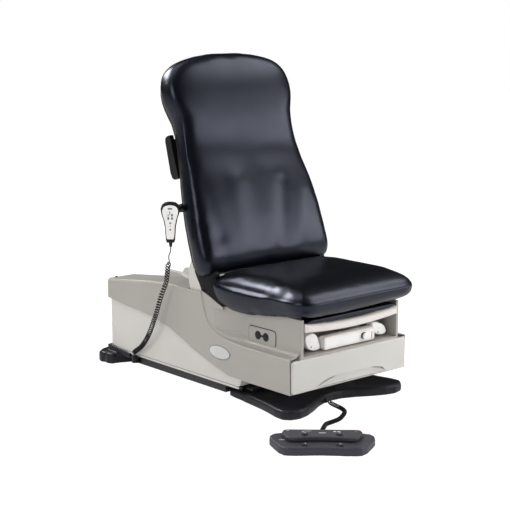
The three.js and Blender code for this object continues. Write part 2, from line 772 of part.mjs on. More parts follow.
function upperShroudSolid() {
  const s = shroud;
  const depth = s.shoulderDepth;
  const wide = new THREE.ExtrudeGeometry(shapeOf(wideOutline), {
    depth: 2 * (shroudHalfWidth - depth),
    bevelThickness: depth,
    bevelSize: s.shoulderRise,
    bevelSegments: 4,
    curveSegments: 4,
  });
  wide.translate(0, 0, -(shroudHalfWidth - depth));
  wide.applyMatrix4(
    new THREE.Matrix4().makeBasis(
      new THREE.Vector3(0, 1, 0),
      new THREE.Vector3(0, 0, 1),
      new THREE.Vector3(1, 0, 0),
    ),
  );
  const crowned = ([y, z]) => [y, z + s.deckCrown * eased((y - s.crownStart) / (s.crownEnd - s.crownStart))];
  const raised = offsetOutline(wideOutline, s.ledgeRise);
  const creaseFrom = wideOutline.length - 1 - creaseLine.length;
  const envelope = fromSide(
    shapeOf([
      [s.front, s.hem],
      ...hemLine,
      crowned([s.rear, s.deckRear]),
      ...deckLine.slice(1, -1).reverse().map(crowned),
      [crease.top, s.deckFront + fit],
      ...raised.slice(creaseFrom + 1, -1),
      [s.front, s.shoulder + s.ledgeRise],
    ]),
    across(shroudHalfWidth + overrun),
  );
  const narrowPlan = (inset) =>
    shapeOf([
      [-s.frontHalf + inset, s.faceFront],
      [s.frontHalf - inset, s.faceFront],
      [s.frontHalf - inset, s.flareStart],
      [s.waistHalf - inset, s.flareEnd],
      [s.waistHalf - inset, crease.top + (inset ? -inset : 0)],
      [-s.waistHalf + inset, crease.top + (inset ? -inset : 0)],
      [-s.waistHalf + inset, s.flareEnd],
      [-s.frontHalf + inset, s.flareStart],
    ]);
  const flareRelief = sides.map(([, side]) =>
    block(
      onSide(side, [s.frontHalf + fit, s.waistHalf + overrun]),
      [s.flareStart, crease.top + overrun],
      [s.flareTop, s.rimTop + overrun],
    ),
  );
  const narrow = cut(
    fromAbove(narrowPlan(0), [mouth.floor - mouth.floorThickness, s.rimTop]),
    ...flareRelief,
  );
  const outside = join(keep(wide, envelope), narrow);
  const wideInside = fromSide(
    shapeOf(
      offsetOutline(wideOutline, -shroudWall).map(([y, z], index) => [
        y,
        index <= hemLine.length ? z - s.shoulderDepth : z,
      ]),
    ),
    across(shroudHalfWidth - shroudWall),
  );
  const narrowInside = keep(
    fromAbove(narrowPlan(shroudWall), [s.hem, s.deckFront + overrun]),
    block(across(s.waistHalf), [mouth.rear, crease.top], [s.shoulder - 2 * shroudWall, s.deckFront + overrun]),
  );
  const mouthCut = block(
    across(mouth.half),
    [s.faceFront - overrun, mouth.rear + overrun],
    [mouth.floor, s.rimTop + overrun],
  );
  const slot = block(
    across(pivotSlot.half),
    [pivotSlot.front, pivotSlot.rear],
    [mouth.floor, s.deckFront + 2 * overrun],
  );
  const shell = cut(outside, wideInside, narrowInside, mouthCut, slot);
  const floor = block(
    across(mouth.half + overrun),
    [s.faceFront, mouth.rear],
    [mouth.floor - mouth.floorThickness, mouth.floor],
  );
  const trough = keep(
    block(
      across(channel.half + channel.wall),
      [channel.front, s.rear],
      [channel.floor - channel.wall, s.deckFront + 2 * s.deckCrown],
    ),
    envelope,
  );
  const troughCut = block(
    across(channel.half),
    [channel.front - overrun, s.rear + overrun],
    [channel.floor, s.deckFront + 3 * s.deckCrown],
  );
  const ribs = sides.map(([, side]) =>
    block(
      onSide(side, [panRib.x - panRib.width / 2, panRib.x + panRib.width / 2]),
      [panRib.front, panRib.rear],
      [mouth.floor - mouth.floorThickness / 2, mouth.floor + panRib.height],
    ),
  );
  const drawerOpening = block(
    across(drawerMouth.half),
    [s.front - overrun, s.front + 3 * shroudWall],
    [s.hem - overrun, drawerMouth.top],
  );
  const shelves = sides.map(([, side]) =>
    block(
      onSide(side, [shelf.inner, shroudHalfWidth - shroudWall / 2]),
      [shelf.front, shelf.rear],
      [shelf.top - shelf.thickness, shelf.top],
    ),
  );
  return cut(join(cut(shell, drawerOpening), floor, trough, ...ribs, ...shelves), troughCut);
}
place("upper_shroud", upperShroudSolid(), finishes.shroud, lift);

// Small things on the shroud
const badge = { y: 218, z: 175, halfLength: 62, halfHeight: 28, thickness: 2.5, points: 28 };
place(
  "badge",
  fromSide(
    shapeOf(
      Array.from({ length: badge.points }, (_, step) => {
        const angle = (2 * Math.PI * step) / badge.points;
        return [badge.y + badge.halfLength * Math.cos(angle), badge.z + badge.halfHeight * Math.sin(angle)];
      }),
    ),
    [-shroudHalfWidth - badge.thickness, -shroudHalfWidth],
  ),
  finishes.white,
  lift,
);

const outlet = { y: 26, z: 267, length: 146, height: 58, corner: 12, thickness: 3, pitch: 43, socket: 16, lid: 2.5 };
place(
  "outlet_plate",
  fromSide(
    roundedRectangle(
      [outlet.y - outlet.length / 2, outlet.y + outlet.length / 2],
      [outlet.z - outlet.height / 2, outlet.z + outlet.height / 2],
      outlet.corner,
    ),
    [-shroud.frontHalf - outlet.thickness, -shroud.frontHalf],
    { edge: outlet.lid / 4, rounds: 1 },
  ),
  finishes.paleShroud,
  lift,
);
for (const [name, offset] of [
  ["front", -outlet.pitch / 2],
  ["rear", outlet.pitch / 2],
]) {
  const face = -shroud.frontHalf - outlet.thickness;
  place(
    `outlet_socket_${name}`,
    rod("x", outlet.socket, [face - outlet.lid, face], [outlet.y + offset, outlet.z], 24),
    finishes.plastic,
    lift,
  );
}

const plug = { x: -264, y: 926, radius: 5, height: 4.5 };
function plugSolid() {
  const [[y0, z0], [y1, z1]] = deckLine.slice(-2);
  const fall = Math.atan2(z1 - z0, y1 - y0);
  const surface = z0 + shroud.deckCrown + (plug.y - y0) * Math.tan(fall);
  return rod("z", plug.radius, [0, plug.height], [0, 0], 12)
    .rotateX(fall)
    .translate(plug.x, plug.y, surface);
}
place("deck_plug", plugSolid(), finishes.plastic, lift);

// Lower drawer on two shelves inside the upper shroud
const drawer = {
  faceLeft: -295,
  faceRight: 287,
  faceFront: -184,
  faceRear: shroud.front - fit,
  bottom: 96,
  top: 217,
  corner: 12,
  edge: 5,
  gripHalf: 184,
  gripX: 6,
  gripBottom: 99,
  gripTop: 133,
  gripDepth: 9,
};
const drawerBox = { half: 272, rear: 88, bottom: shelf.top + fit, top: 208, wall: 4 };

function drawerFaceSolid() {
  const d = drawer;
  const face = fromFront(
    roundedRectangle([d.faceLeft, d.faceRight], [d.bottom, d.top], d.corner),
    [d.faceFront, d.faceRear],
    { edge: d.edge },
  );
  const grip = fromFront(
    shapeOf([
      [d.gripX - d.gripHalf, d.gripBottom],
      [d.gripX + d.gripHalf, d.gripBottom],
      [d.gripX + 0.84 * d.gripHalf, between(d.gripBottom, d.gripTop, 0.66)],
      [d.gripX + 0.6 * d.gripHalf, between(d.gripBottom, d.gripTop, 0.92)],
      [d.gripX, d.gripTop],
      [d.gripX - 0.6 * d.gripHalf, between(d.gripBottom, d.gripTop, 0.92)],
      [d.gripX - 0.84 * d.gripHalf, between(d.gripBottom, d.gripTop, 0.66)],
    ]),
    [d.faceFront - overrun, d.faceFront + d.gripDepth],
  );
  return cut(face, grip);
}
place(
  "drawer",
  cut(
    join(
      drawerFaceSolid(),
      block(
        across(drawerBox.half),
        [drawer.faceRear - drawer.edge, drawerBox.rear],
        [drawerBox.bottom, drawerBox.top],
      ),
    ),
    block(
      across(drawerBox.half - drawerBox.wall),
      [drawer.faceRear + drawerBox.wall, drawerBox.rear - drawerBox.wall],
      [drawerBox.bottom + drawerBox.wall, drawerBox.top + overrun],
    ),
  ),
  finishes.paleShroud,
  lift,
);

// Stirrups: a bar in a guide on the bay's floor, with a moulded end
const stirrup = { x: 172, barHalf: 11, bottom: 262, height: 22, front: -136, rear: 285 };
const stirrupEnd = { half: 34, front: -152, rear: -120, bottom: 240, top: 305, corner: 9, edge: 5 };
const guide = { half: 17, front: -80, rear: 92, top: 292 };
for (const [name, side] of sides) {
  const x = side * stirrup.x;
  const barRange = [stirrup.bottom, stirrup.bottom + stirrup.height];
  place(
    `stirrup_guide_${name}`,
    cut(
      block([x - guide.half, x + guide.half], [guide.front, guide.rear], [mouth.floor, guide.top]),
      block(
        [x - stirrup.barHalf - slideFit, x + stirrup.barHalf + slideFit],
        [guide.front - overrun, guide.rear + overrun],
        [barRange[0] - slideFit, barRange[1] + slideFit],
      ),
    ),
    finishes.zinc,
    lift,
  );
  place(
    `stirrup_bar_${name}`,
    block([x - stirrup.barHalf, x + stirrup.barHalf], [stirrup.front, stirrup.rear], barRange),
    finishes.steel,
    lift,
  );
  place(
    `stirrup_end_${name}`,
    cut(
      fromFront(
        roundedRectangle(
          [x - stirrupEnd.half, x + stirrupEnd.half],
          [stirrupEnd.bottom, stirrupEnd.top],
          stirrupEnd.corner,
        ),
        [stirrupEnd.front, stirrupEnd.rear],
        { edge: stirrupEnd.edge },
      ),
      block(
        [x - stirrup.barHalf - fit, x + stirrup.barHalf + fit],
        [stirrup.front - fit, stirrupEnd.rear + overrun],
        [barRange[0] - fit, barRange[1] + fit],
      ),
    ),
    finishes.white,
    lift,
  );
}

// Treatment pan on two ribs, with a knob and a narrow slit beside it
const pan = {
  left: -125,
  right: 135,
  faceFront: -168,
  faceRear: -158,
  bottom: 229,
  top: 276,
  corner: 8,
  edge: 3,
  bodyHalf: 121,
  bodyRear: 92,
  bodyTop: 270,
  wall: 2.5,
  slitX: 121,
  slitWidth: 4,
  slitBottom: 240,
  slitTop: 266,
  slitDepth: 4,
  knobX: 75,
  knobRadius: 11,
  knobDepth: 14,
};
const panFloor = mouth.floor + panRib.height + fit;
place(
  "pan",
  cut(
    join(
      fromFront(
        roundedRectangle([pan.left, pan.right], [pan.bottom, pan.top], pan.corner),
        [pan.faceFront, pan.faceRear],
        { edge: pan.edge },
      ),
      block(across(pan.bodyHalf), [pan.faceRear - pan.edge, pan.bodyRear], [panFloor, pan.bodyTop]),
    ),
    block(
      [pan.slitX - pan.slitWidth / 2, pan.slitX + pan.slitWidth / 2],
      [pan.faceFront - overrun, pan.faceFront + pan.slitDepth],
      [pan.slitBottom, pan.slitTop],
    ),
    block(
      across(pan.bodyHalf - pan.wall),
      [pan.faceRear + pan.wall, pan.bodyRear - pan.wall],
      [panFloor + pan.wall, pan.bodyTop + overrun],
    ),
  ),
  finishes.white,
  lift,
);
place(
  "pan_knob",
  rod(
    "y",
    pan.knobRadius,
    [pan.faceFront - pan.knobDepth, pan.faceFront],
    [pan.knobX, (pan.bottom + pan.top) / 2],
    20,
  ),
  finishes.white,
  lift,
);

// Leg extension: a dished tray on two runners, with a thin pad on it
const extension = {
  half: 234,
  front: -194,
  rear: 96,
  endBottom: 323,
  endTop: 345,
  dish: 13,
  edge: 6,
  padTop: 360,
  padHalf: 226,
  padFront: -186,
  padCrown: 6,
};
const extensionRunner = { inner: 226, front: -150, rear: 94, height: 10 };
const dishShares = [-1, -0.8, -0.5, 0, 0.5, 0.8, 1];
const dishAt = (share) => extension.dish * (1 - share * share);
function extensionTraySolid() {
  const e = extension;
  const top = dishShares.map((share) => [share * e.half, e.endTop - dishAt(share)]);
  const bottom = dishShares.map((share) => [share * e.half, e.endBottom - dishAt(share)]);
  return fromFront(shapeOf([...bottom, ...top.reverse()]), [e.front, e.rear], { edge: e.edge });
}
place("extension_tray", extensionTraySolid(), finishes.white, lift);
place(
  "extension_pad",
  fromFront(
    shapeOf([
      ...dishShares.map((share) => [
        share * extension.padHalf,
        extension.endTop + fit - dishAt((share * extension.padHalf) / extension.half),
      ]),
      [extension.padHalf, extension.padTop - extension.padCrown],
      [0.9 * extension.padHalf, extension.padTop],
      [-0.9 * extension.padHalf, extension.padTop],
      [-extension.padHalf, extension.padTop - extension.padCrown],
    ]),
    [extension.padFront, extension.rear - overrun],
  ),
  finishes.vinyl,
  lift,
);
for (const [name, side] of sides) {
  const top = extension.endBottom - extension.dish * (1 - (extensionRunner.inner / extension.half) ** 2) - fit;
  place(
    `extension_runner_${name}`,
    block(
      onSide(side, [extensionRunner.inner, mouth.half]),
      [extensionRunner.front, extensionRunner.rear],
      [top - extensionRunner.height, top],
    ),
    finishes.zinc,
    lift,
  );
}

// Back drive: a fixed housing in the channel, its rod with an eye round the lever's pin
const drive = {
  z: 358.5,
  eyeY: 354,
  eyeRadius: 23,
  eyeBore: 15,
  eyeHalf: 8,
  pinLift: 7.5,
  rodRadius: 9,
  rodRear: 600,
  housingFront: 470,
  housingRear: 690,
  housingRadius: 16,
  boreRear: 612,
  footHalf: 14,
  footFront: 646,
  motorX: 62,
  motorZ: 333,
  motorRadius: 26,
  motorFront: 640,
  motorRear: 770,
  gearHalf: 12,
};
place(
  "back_drive_housing",
  cut(
    join(
      rod("y", drive.housingRadius, [drive.housingFront, drive.housingRear], [0, drive.z], 20),
      block(
        across(drive.footHalf),
        [drive.footFront, drive.housingRear - overrun],
        [channel.floor, drive.z],
      ),
      block(
        [0, drive.motorX],
        [drive.footFront, drive.footFront + 2 * drive.gearHalf],
        [drive.motorZ - drive.gearHalf, drive.motorZ + drive.gearHalf],
      ),
      rod("y", drive.motorRadius, [drive.motorFront, drive.motorRear], [drive.motorX, drive.motorZ], 20),
    ),
    rod(
      "y",
      drive.rodRadius + slideFit,
      [drive.housingFront - overrun, drive.boreRear],
      [0, drive.z],
    ),
  ),
  finishes.plastic,
  lift,
);
place(
  "back_drive_rod",
  cut(
    join(
      rod("x", drive.eyeRadius, across(drive.eyeHalf), [drive.eyeY, drive.z], 24),
      rod("y", drive.rodRadius, [drive.eyeY + drive.eyeRadius - overrun / 2, drive.rodRear], [0, drive.z]),
    ),
    rod("x", drive.eyeBore, across(drive.eyeHalf + overrun), [drive.eyeY, drive.z], 24),
  ),
  finishes.steel,
  lift,
);

const hump = {
  left: -24,
  right: 112,
  front: 560,
  rear: 790,
  top: 382,
  wall: 4,
  corner: 22,
  noseTop: 340,
  hole: 18.5,
  holeReach: 130,
  lowLeft: -90,
  lowTop: 344,
  ridgeLeft: -116,
  ridgeEdge: 7,
};
function humpSolid() {
  const h = hump;
  const outline = (inset, top = h.top) =>
    shapeOf([
      [h.front + inset, channel.floor - (inset ? overrun : 0)],
      [h.rear - inset, channel.floor - (inset ? overrun : 0)],
      [h.rear - inset, top - h.corner - inset / 2],
      [h.rear - h.corner / 2 - inset, top - h.corner / 4 - inset],
      [h.rear - h.corner - inset, top - inset],
      [h.rear - 4 * h.corner, top - inset],
      [h.front + inset, top - h.top + h.noseTop - inset],
    ]);
  const low = block([h.lowLeft, h.left], [h.front, h.rear], [channel.floor, h.lowTop]);
  const lowInside = block(
    [h.lowLeft, h.left + overrun],
    [h.front + h.wall, h.rear - h.wall],
    [channel.floor - overrun, h.lowTop - h.wall],
  );
  const ridge = keep(
    fromSide(outline(-h.ridgeEdge), [h.ridgeLeft, h.lowLeft], { edge: h.ridgeEdge, rounds: 3 }),
    block([h.ridgeLeft, h.lowLeft], [h.front, h.rear + h.wall], [channel.floor, h.top]),
  );
  return cut(
    join(fromSide(outline(0), [h.left, h.right]), low, ridge),
    fromSide(outline(h.wall), [h.left + h.wall, h.right - h.wall]),
    lowInside,
    rod("y", h.hole, [h.front - overrun, h.front + h.holeReach], [0, drive.z], 20),
    block(across(h.hole), [h.front - overrun, h.front + h.holeReach], [channel.floor - overrun, drive.z]),
  );
}
place("back_drive_cover", humpSolid(), finishes.paleShroud, lift);

// Backrest. Its group leans back: x across, y from the front face to the rear, z up along the back
const backrest = new THREE.Group();
const backFoot = { y: 255, z: 466 };
backrest.position.set(0, backFoot.y, backFoot.z);
backrest.rotation.x = -backLean;

function toBack(y, z) {
  const [dy, dz] = [y - backFoot.y, z - backFoot.z];
  return [
    dy * Math.cos(backLean) - dz * Math.sin(backLean),
    dy * Math.sin(backLean) + dz * Math.cos(backLean),
  ];
}
const backPivot = toBack(hinge.y, hinge.z);

const back = { cushion: 80, board: 12, shell: 4, edge: 26, crown: 9, lumbar: 12 };
const lumbarShares = { start: 0.08, fall: 0.25, end: 0.58, headStart: 0.72, headDraw: 1.2 };
const backOutlineShares = {
  up: [
    0, 0, 0.009, 0.033, 0.07, 0.153, 0.235, 0.329, 0.412, 0.471, 0.529, 0.594, 0.653, 0.706, 0.735,
    0.776, 0.812, 0.847, 0.894, 0.918, 0.941, 0.961, 0.976, 0.99, 0.999,
  ],
  out: [
    0.45, 0.9, 0.97, 1, 1.012, 1.012, 1.003, 0.978, 0.948, 0.918, 0.9, 0.876, 0.872, 0.885, 0.912,
    0.944, 0.96, 0.956, 0.925, 0.888, 0.828, 0.738, 0.615, 0.44, 0.226,
  ],
};
const backOutline = (() => {
  const half = backOutlineShares.up.map((share, index) => [
    backHalfWidth * backOutlineShares.out[index],
    backLength * share,
  ]);
  return [
    [0, 0],
    ...half,
    [0, backLength],
    ...half
      .slice()
      .reverse()
      .map(([x, z]) => [-x, z]),
  ];
})();

// The outline drawn in towards the middle of the back by an inset
function drawnIn(inset) {
  const middle = backLength / 2;
  return backOutline.map(([x, z]) => [
    x * (1 - inset / backHalfWidth),
    middle + (z - middle) * (1 - inset / middle),
  ]);
}

// How far the front of the cushion stands forward at a height, as a lumbar swell
function lumbar(z) {
  const share = z / backLength;
  const { start, fall, end } = lumbarShares;
  return back.lumbar * eased(share / start) * (1 - eased((share - fall) / (end - fall)));
}

function backCushionSolid() {
  const outline = drawnIn(0);
  const headDraw = (z) => {
    const { headStart, headDraw: more } = lumbarShares;
    return 1 + more * eased((z / backLength - headStart) / (1 - headStart));
  };
  const ring = (insetShare, depth) => {
    const front = Math.max(0, 1 - Math.max(0, depth) / (back.cushion / 2));
    return outline.map(([, height], index) => {
      const inset = insetShare * back.edge * between(1, headDraw(height), Math.min(front, 1 / insetShare));
      const [x, z] = drawnIn(inset)[index];
      return new THREE.Vector3(x, depth - front * lumbar(z), z);
    });
  };
  const rings = [
    ring(0.8, back.cushion),
    ring(0.2, 0.985 * back.cushion),
    ring(0, 0.93 * back.cushion),
    ring(0, 0.75 * back.cushion),
    ring(0, 0.32 * back.cushion),
    ring(0.12, 0.16 * back.cushion),
    ring(0.4, 0.05 * back.cushion),
    ring(1, 0),
    ring(2.2, -0.4 * back.crown),
    ring(4.4, -0.75 * back.crown),
    ring(7.4, -0.93 * back.crown),
  ];
  return stitched(
    rings,
    new THREE.Vector3(0, back.cushion, backLength / 2),
    new THREE.Vector3(0, -back.crown - lumbar(backLength / 2), backLength / 2),
  );
}
place("back_cushion", backCushionSolid(), finishes.vinyl, backrest);

const boardFront = back.cushion + fit;
const shellFront = boardFront + back.board + fit;
const backRear = shellFront + back.shell;
place(
  "back_board",
  fromFront(shapeOf(drawnIn(0.6 * back.edge)), [boardFront, boardFront + back.board]),
  finishes.wood,
  backrest,
);
place(
  "back_shell",
  fromFront(shapeOf(drawnIn(0.1 * back.edge)), [shellFront, backRear], { edge: back.shell / 4, rounds: 1 }),
  finishes.plastic,
  backrest,
);

// Back frame: two hinge arms, an inner frame in line with the channel, and the drive lever
const frameBack = {
  front: backRear + fit,
  rear: 122,
  armDrop: 16,
  armTop: 58,
  railInner: 120,
  railOuter: 142,
  railBottom: 4,
  railTop: 330,
  tubeRadius: 11,
  lowerTube: 30,
  upperTube: 304,
};
const lever = { inner: 10.5, outer: 18.5, width: 15, pinRadius: 6 };
const leverPin = toBack(drive.eyeY, drive.z + drive.pinLift);
function backFrameSolid() {
  const f = frameBack;
  const [pivotY, pivotZ] = backPivot;
  const tubeY = (f.front + f.rear) / 2;
  const reach = hinge.bossRadius;
  const arms = sides.map(([, side]) =>
    join(
      rod("x", reach, onSide(side, hinge.arm), backPivot),
      fromSide(
        shapeOf([
          [pivotY - reach * 0.7, pivotZ - f.armDrop],
          [f.rear - f.armDrop, pivotZ - f.armDrop],
          [f.rear, pivotZ],
          [f.rear, f.armTop],
          [f.front, f.armTop],
          [f.front, pivotZ + reach],
          [pivotY, pivotZ + reach],
        ]),
        onSide(side, hinge.arm),
      ),
    ),
  );
  const rails = sides.map(([, side]) =>
    block(onSide(side, [f.railInner, f.railOuter]), [f.front, f.rear], [f.railBottom, f.railTop]),
  );
  const lowerTube = rod("x", f.tubeRadius, across(hinge.arm[1]), [tubeY, f.lowerTube]);
  const upperTube = rod("x", f.tubeRadius, across(f.railOuter), [tubeY, f.upperTube]);
  const plates = sides.map(([, side]) =>
    join(
      rod("x", lever.width, onSide(side, [lever.inner, lever.outer]), leverPin),
      fromSide(
        shapeOf([
          [leverPin[0] - lever.width, leverPin[1]],
          [leverPin[0] + lever.width, leverPin[1]],
          [f.rear, f.lowerTube + lever.width],
          [f.front, f.lowerTube + lever.width],
        ]),
        onSide(side, [lever.inner, lever.outer]),
      ),
    ),
  );
  const pin = rod("x", lever.pinRadius, across(lever.outer), leverPin);
  const bores = sides.map(([, side]) =>
    rod(
      "x",
      hinge.pinRadius + fit,
      onSide(side, [hinge.arm[0] - overrun, hinge.arm[1] + overrun]),
      backPivot,
    ),
  );
  return cut(join(...arms, ...rails, lowerTube, upperTube, ...plates, pin), ...bores);
}
place("back_frame", backFrameSolid(), finishes.frame, backrest);

// Hinge covers: a lobe that turns with the back, down into the slot of the upper shroud
const lobe = { inner: 265, outer: 283, radius: 116, bottomTurn: 26, steps: 9, clear: 1.2, hub: 20, edge: 2.5 };
function hingeCoverSolid(side) {
  const [pivotY, pivotZ] = backPivot;
  const front = backRear + fit;
  const topTurn = Math.acos((front - pivotY) / lobe.radius);
  const bottomTurn = -THREE.MathUtils.degToRad(lobe.bottomTurn);
  const arc = Array.from({ length: lobe.steps + 1 }, (_, step) => {
    const turn = between(bottomTurn, topTurn, step / lobe.steps);
    return [pivotY + lobe.radius * Math.cos(turn), pivotZ + lobe.radius * Math.sin(turn)];
  });
  const outline = [
    [pivotY - lobe.hub, -lobe.clear],
    [pivotY - lobe.hub * 0.8, pivotZ - lobe.hub * 0.6],
    [pivotY, pivotZ - lobe.hub],
    ...arc,
    [front, -lobe.clear],
  ];
  return fromSide(shapeOf(outline), onSide(side, [lobe.inner, lobe.outer]), { edge: lobe.edge, rounds: 2 });
}
for (const [name, side] of sides) {
  place(`hinge_cover_${name}`, hingeCoverSolid(side), finishes.paleShroud, backrest);
}

// Roll holder: two cheeks behind the back with a spindle between them
const roll = {
  inner: 268,
  outer: 288,
  flangeInner: 236,
  flange: 6,
  bottom: 391,
  top: 560,
  rear: 139,
  lean: 8,
  corner: 16,
  footCorner: 30,
  spindleZ: 475,
  spindleY: 119,
  spindleRadius: 7,
  spindleHalf: 276,
  boreEnd: 277,
};
for (const [name, side] of sides) {
  const front = backRear + fit;
  place(
    `roll_cheek_${name}`,
    cut(
      join(
        fromSide(
          shapeOf([
            [front, roll.bottom],
            [roll.rear - roll.corner, roll.bottom],
            [roll.rear - 0.3 * roll.corner, roll.bottom + 0.3 * roll.footCorner],
            [roll.rear, roll.bottom + roll.footCorner],
            [roll.rear - roll.lean, roll.top - roll.corner],
            [roll.rear - roll.lean - 0.3 * roll.corner, roll.top - 0.3 * roll.corner],
            [roll.rear - roll.lean - roll.corner, roll.top],
            [front, roll.top],
          ]),
          onSide(side, [roll.inner, roll.outer]),
        ),
        block(
          onSide(side, [roll.flangeInner, roll.inner + overrun]),
          [front, front + roll.flange],
          [roll.bottom + roll.corner, roll.top - roll.corner],
        ),
      ),
      rod(
        "x",
        roll.spindleRadius + slideFit,
        onSide(side, [roll.inner - overrun, roll.boreEnd]),
        [roll.spindleY, roll.spindleZ],
      ),
    ),
    finishes.plastic,
    backrest,
  );
}
place(
  "roll_spindle",
  rod("x", roll.spindleRadius, across(roll.spindleHalf), [roll.spindleY, roll.spindleZ]),
  finishes.steel,
  backrest,
);

// Handset, its hook behind the left edge of the back, and its strain relief
const hook = {
  pegX: -320,
  pegEnd: -378,
  pegRadius: 6.5,
  y: 411,
  z: 704,
  plateRight: -210,
  plateHalf: 14,
  thickness: 5,
};
const hookAt = toBack(hook.y, hook.z);
place(
  "handset_hook",
  join(
    block(
      [hook.pegX - hook.thickness, hook.plateRight],
      [backRear + fit, backRear + fit + hook.thickness],
      [hookAt[1] - hook.plateHalf, hookAt[1] + hook.plateHalf],
    ),
    block(
      [hook.pegX - hook.thickness, hook.pegX],
      [hookAt[0] - hook.plateHalf, backRear + fit + hook.thickness],
      [hookAt[1] - hook.plateHalf, hookAt[1] + hook.plateHalf],
    ),
    rod("x", hook.pegRadius, [hook.pegEnd, hook.pegX - hook.thickness / 2], hookAt),
  ),
  finishes.plastic,
  backrest,
);

const handset = new THREE.Group();
const handsetSize = {
  faceGap: 0.1,
  x: -378,
  y: 406,
  bottom: 578,
  height: 154,
  half: 36,
  thickness: 24,
  edge: 5,
  faceInset: 6,
  face: 1.6,
  turn: THREE.MathUtils.degToRad(-41),
  boreFit: 0.7,
  reliefLength: 17,
  reliefRadius: 7,
  reliefEnd: 5,
};
handset.position.set(handsetSize.x, handsetSize.y, handsetSize.bottom);
handset.rotation.z = handsetSize.turn;
const handsetShares = {
  up: [0, 0, 0.06, 0.2, 0.4, 0.58, 0.72, 0.84, 0.93, 0.98, 1],
  out: [0.2, 0.38, 0.48, 0.52, 0.58, 0.74, 0.94, 1, 0.86, 0.6, 0.22],
};
function handsetShape(inset) {
  const scale = 1 - inset / handsetSize.half;
  const middle = handsetSize.height * 0.55;
  const half = handsetShares.up.map((share, index) => [
    handsetSize.half * handsetShares.out[index] * scale,
    middle + (handsetSize.height * share - middle) * scale,
  ]);
  const other = half.slice().reverse();
  return shapeOf([...half, ...other.map(([x, z]) => [-x, z])]);
}
function handsetSolid() {
  const h = handsetSize;
  const body = fromFront(handsetShape(0), across(h.thickness / 2), { edge: h.edge });
  const bore = rod("x", hook.pegRadius + h.boreFit, [hook.pegEnd - slideFit, hook.pegX], [hook.y, hook.z]);
  handset.updateMatrixWorld(true);
  bore.applyMatrix4(handset.matrixWorld.clone().invert());
  return cut(body, bore);
}
place("handset_body", handsetSolid(), finishes.plastic, handset);
place(
  "handset_face",
  fromFront(handsetShape(handsetSize.faceInset), [
    -handsetSize.thickness / 2 - handsetSize.face,
    -handsetSize.thickness / 2 - handsetSize.faceGap,
  ]),
  finishes.white,
  handset,
);
place(
  "handset_strain_relief",
  rod(
    "z",
    handsetSize.reliefEnd,
    [-handsetSize.reliefLength, -fit],
    [0, 0],
    12,
    handsetSize.reliefRadius,
  ),
  finishes.plastic,
  handset,
);

// Foot control, turned towards the person who works it
const footControl = new THREE.Group();
const pedalPlace = { x: -413, y: -461, turn: THREE.MathUtils.degToRad(-42.4) };
footControl.position.set(pedalPlace.x, pedalPlace.y, 0);
footControl.rotation.z = pedalPlace.turn;
const pedal = {
  half: 180,
  front: -83,
  rear: 82,
  height: 28,
  edge: 7,
  waist: 5,
  barHalf: 136,
  barFrontHalf: 104,
  barFront: -28,
  barRear: 66,
  barWaist: 12,
  barCorner: 18,
  barTop: 45,
  buttonX: 58,
  barButtonY: 8,
  lowButtonY: -52,
  buttonRadius: 11,
  buttonRise: 6,
  buttonSink: 5,
  well: 9,
  reliefLength: 32,
  reliefRadius: 8,
  reliefEnd: 5.5,
  reliefZ: 17,
};
pedal.barBottom = pedal.height + fit;
const pedalShares = {
  along: [0, 0.03, 0.15, 0.35, 0.53, 0.68, 0.82, 0.94, 1],
  out: [0.64, 0.72, 0.81, 0.885, 0.945, 0.99, 0.985, 0.92, 0.78],
  waist: 0.42,
};
const wells = (surface, y) =>
  sides.map(([, side]) =>
    rod(
      "z",
      pedal.buttonRadius + slideFit,
      [surface - pedal.well, surface + overrun],
      [side * pedal.buttonX, y],
      20,
    ),
  );
function pedalSolid() {
  const half = pedalShares.along.map((share, index) => [
    pedal.half * pedalShares.out[index],
    between(pedal.front, pedal.rear, share),
  ]);
  const other = half.slice().reverse();
  const waist = [-1, -0.5, 0, 0.5, 1].map((share) => [
    pedal.half * pedalShares.waist * share,
    pedal.front + pedal.waist * (1 - share * share),
  ]);
  const shape = shapeOf([...half, ...other.map(([x, y]) => [-x, y]), ...waist]);
  const slab = fromAbove(shape, [-pedal.edge, pedal.height], { edge: pedal.edge, rounds: 3 });
  const floorCut = block(across(2 * pedal.half), across(2 * pedal.half), [-2 * pedal.edge, 0]);
  return cut(slab, floorCut, ...wells(pedal.height, pedal.lowButtonY));
}
place("foot_control_base", pedalSolid(), finishes.foot, footControl);

// The bar's outline: wider behind, with round corners and a front edge drawn in at the middle
function pedalBarShape() {
  const { barHalf, barFrontHalf, barFront, barRear, barWaist, barCorner } = pedal;
  const half = [
    [0, barFront + barWaist],
    [0.6 * barFrontHalf, barFront + 0.6 * barWaist],
    [barFrontHalf - 0.5 * barCorner, barFront],
    [barFrontHalf + 0.4 * barCorner, barFront + 0.3 * barCorner],
    [barFrontHalf + barCorner, barFront + barCorner],
    [barHalf, barRear - 1.4 * barCorner],
    [barHalf - 0.3 * barCorner, barRear - 0.3 * barCorner],
    [barHalf - barCorner, barRear],
  ];
  return shapeOf([...half, ...half.slice(1).reverse().map(([x, y]) => [-x, y])]);
}
place(
  "foot_control_bar",
  cut(
    fromAbove(
      pedalBarShape(),
      [pedal.barBottom, pedal.barTop],
      { edge: pedal.edge / 2 },
    ),
    ...wells(pedal.barTop, pedal.barButtonY),
  ),
  finishes.foot,
  footControl,
);
for (const [row, surface, y] of [
  ["bar", pedal.barTop, pedal.barButtonY],
  ["low", pedal.height, pedal.lowButtonY],
]) {
  for (const [name, side] of sides) {
    place(
      `button_${row}_${name}`,
      rod(
        "z",
        pedal.buttonRadius,
        [surface - pedal.buttonSink, surface + pedal.buttonRise],
        [side * pedal.buttonX, y],
        20,
        0.9 * pedal.buttonRadius,
      ),
      finishes.plastic,
      footControl,
    );
  }
}
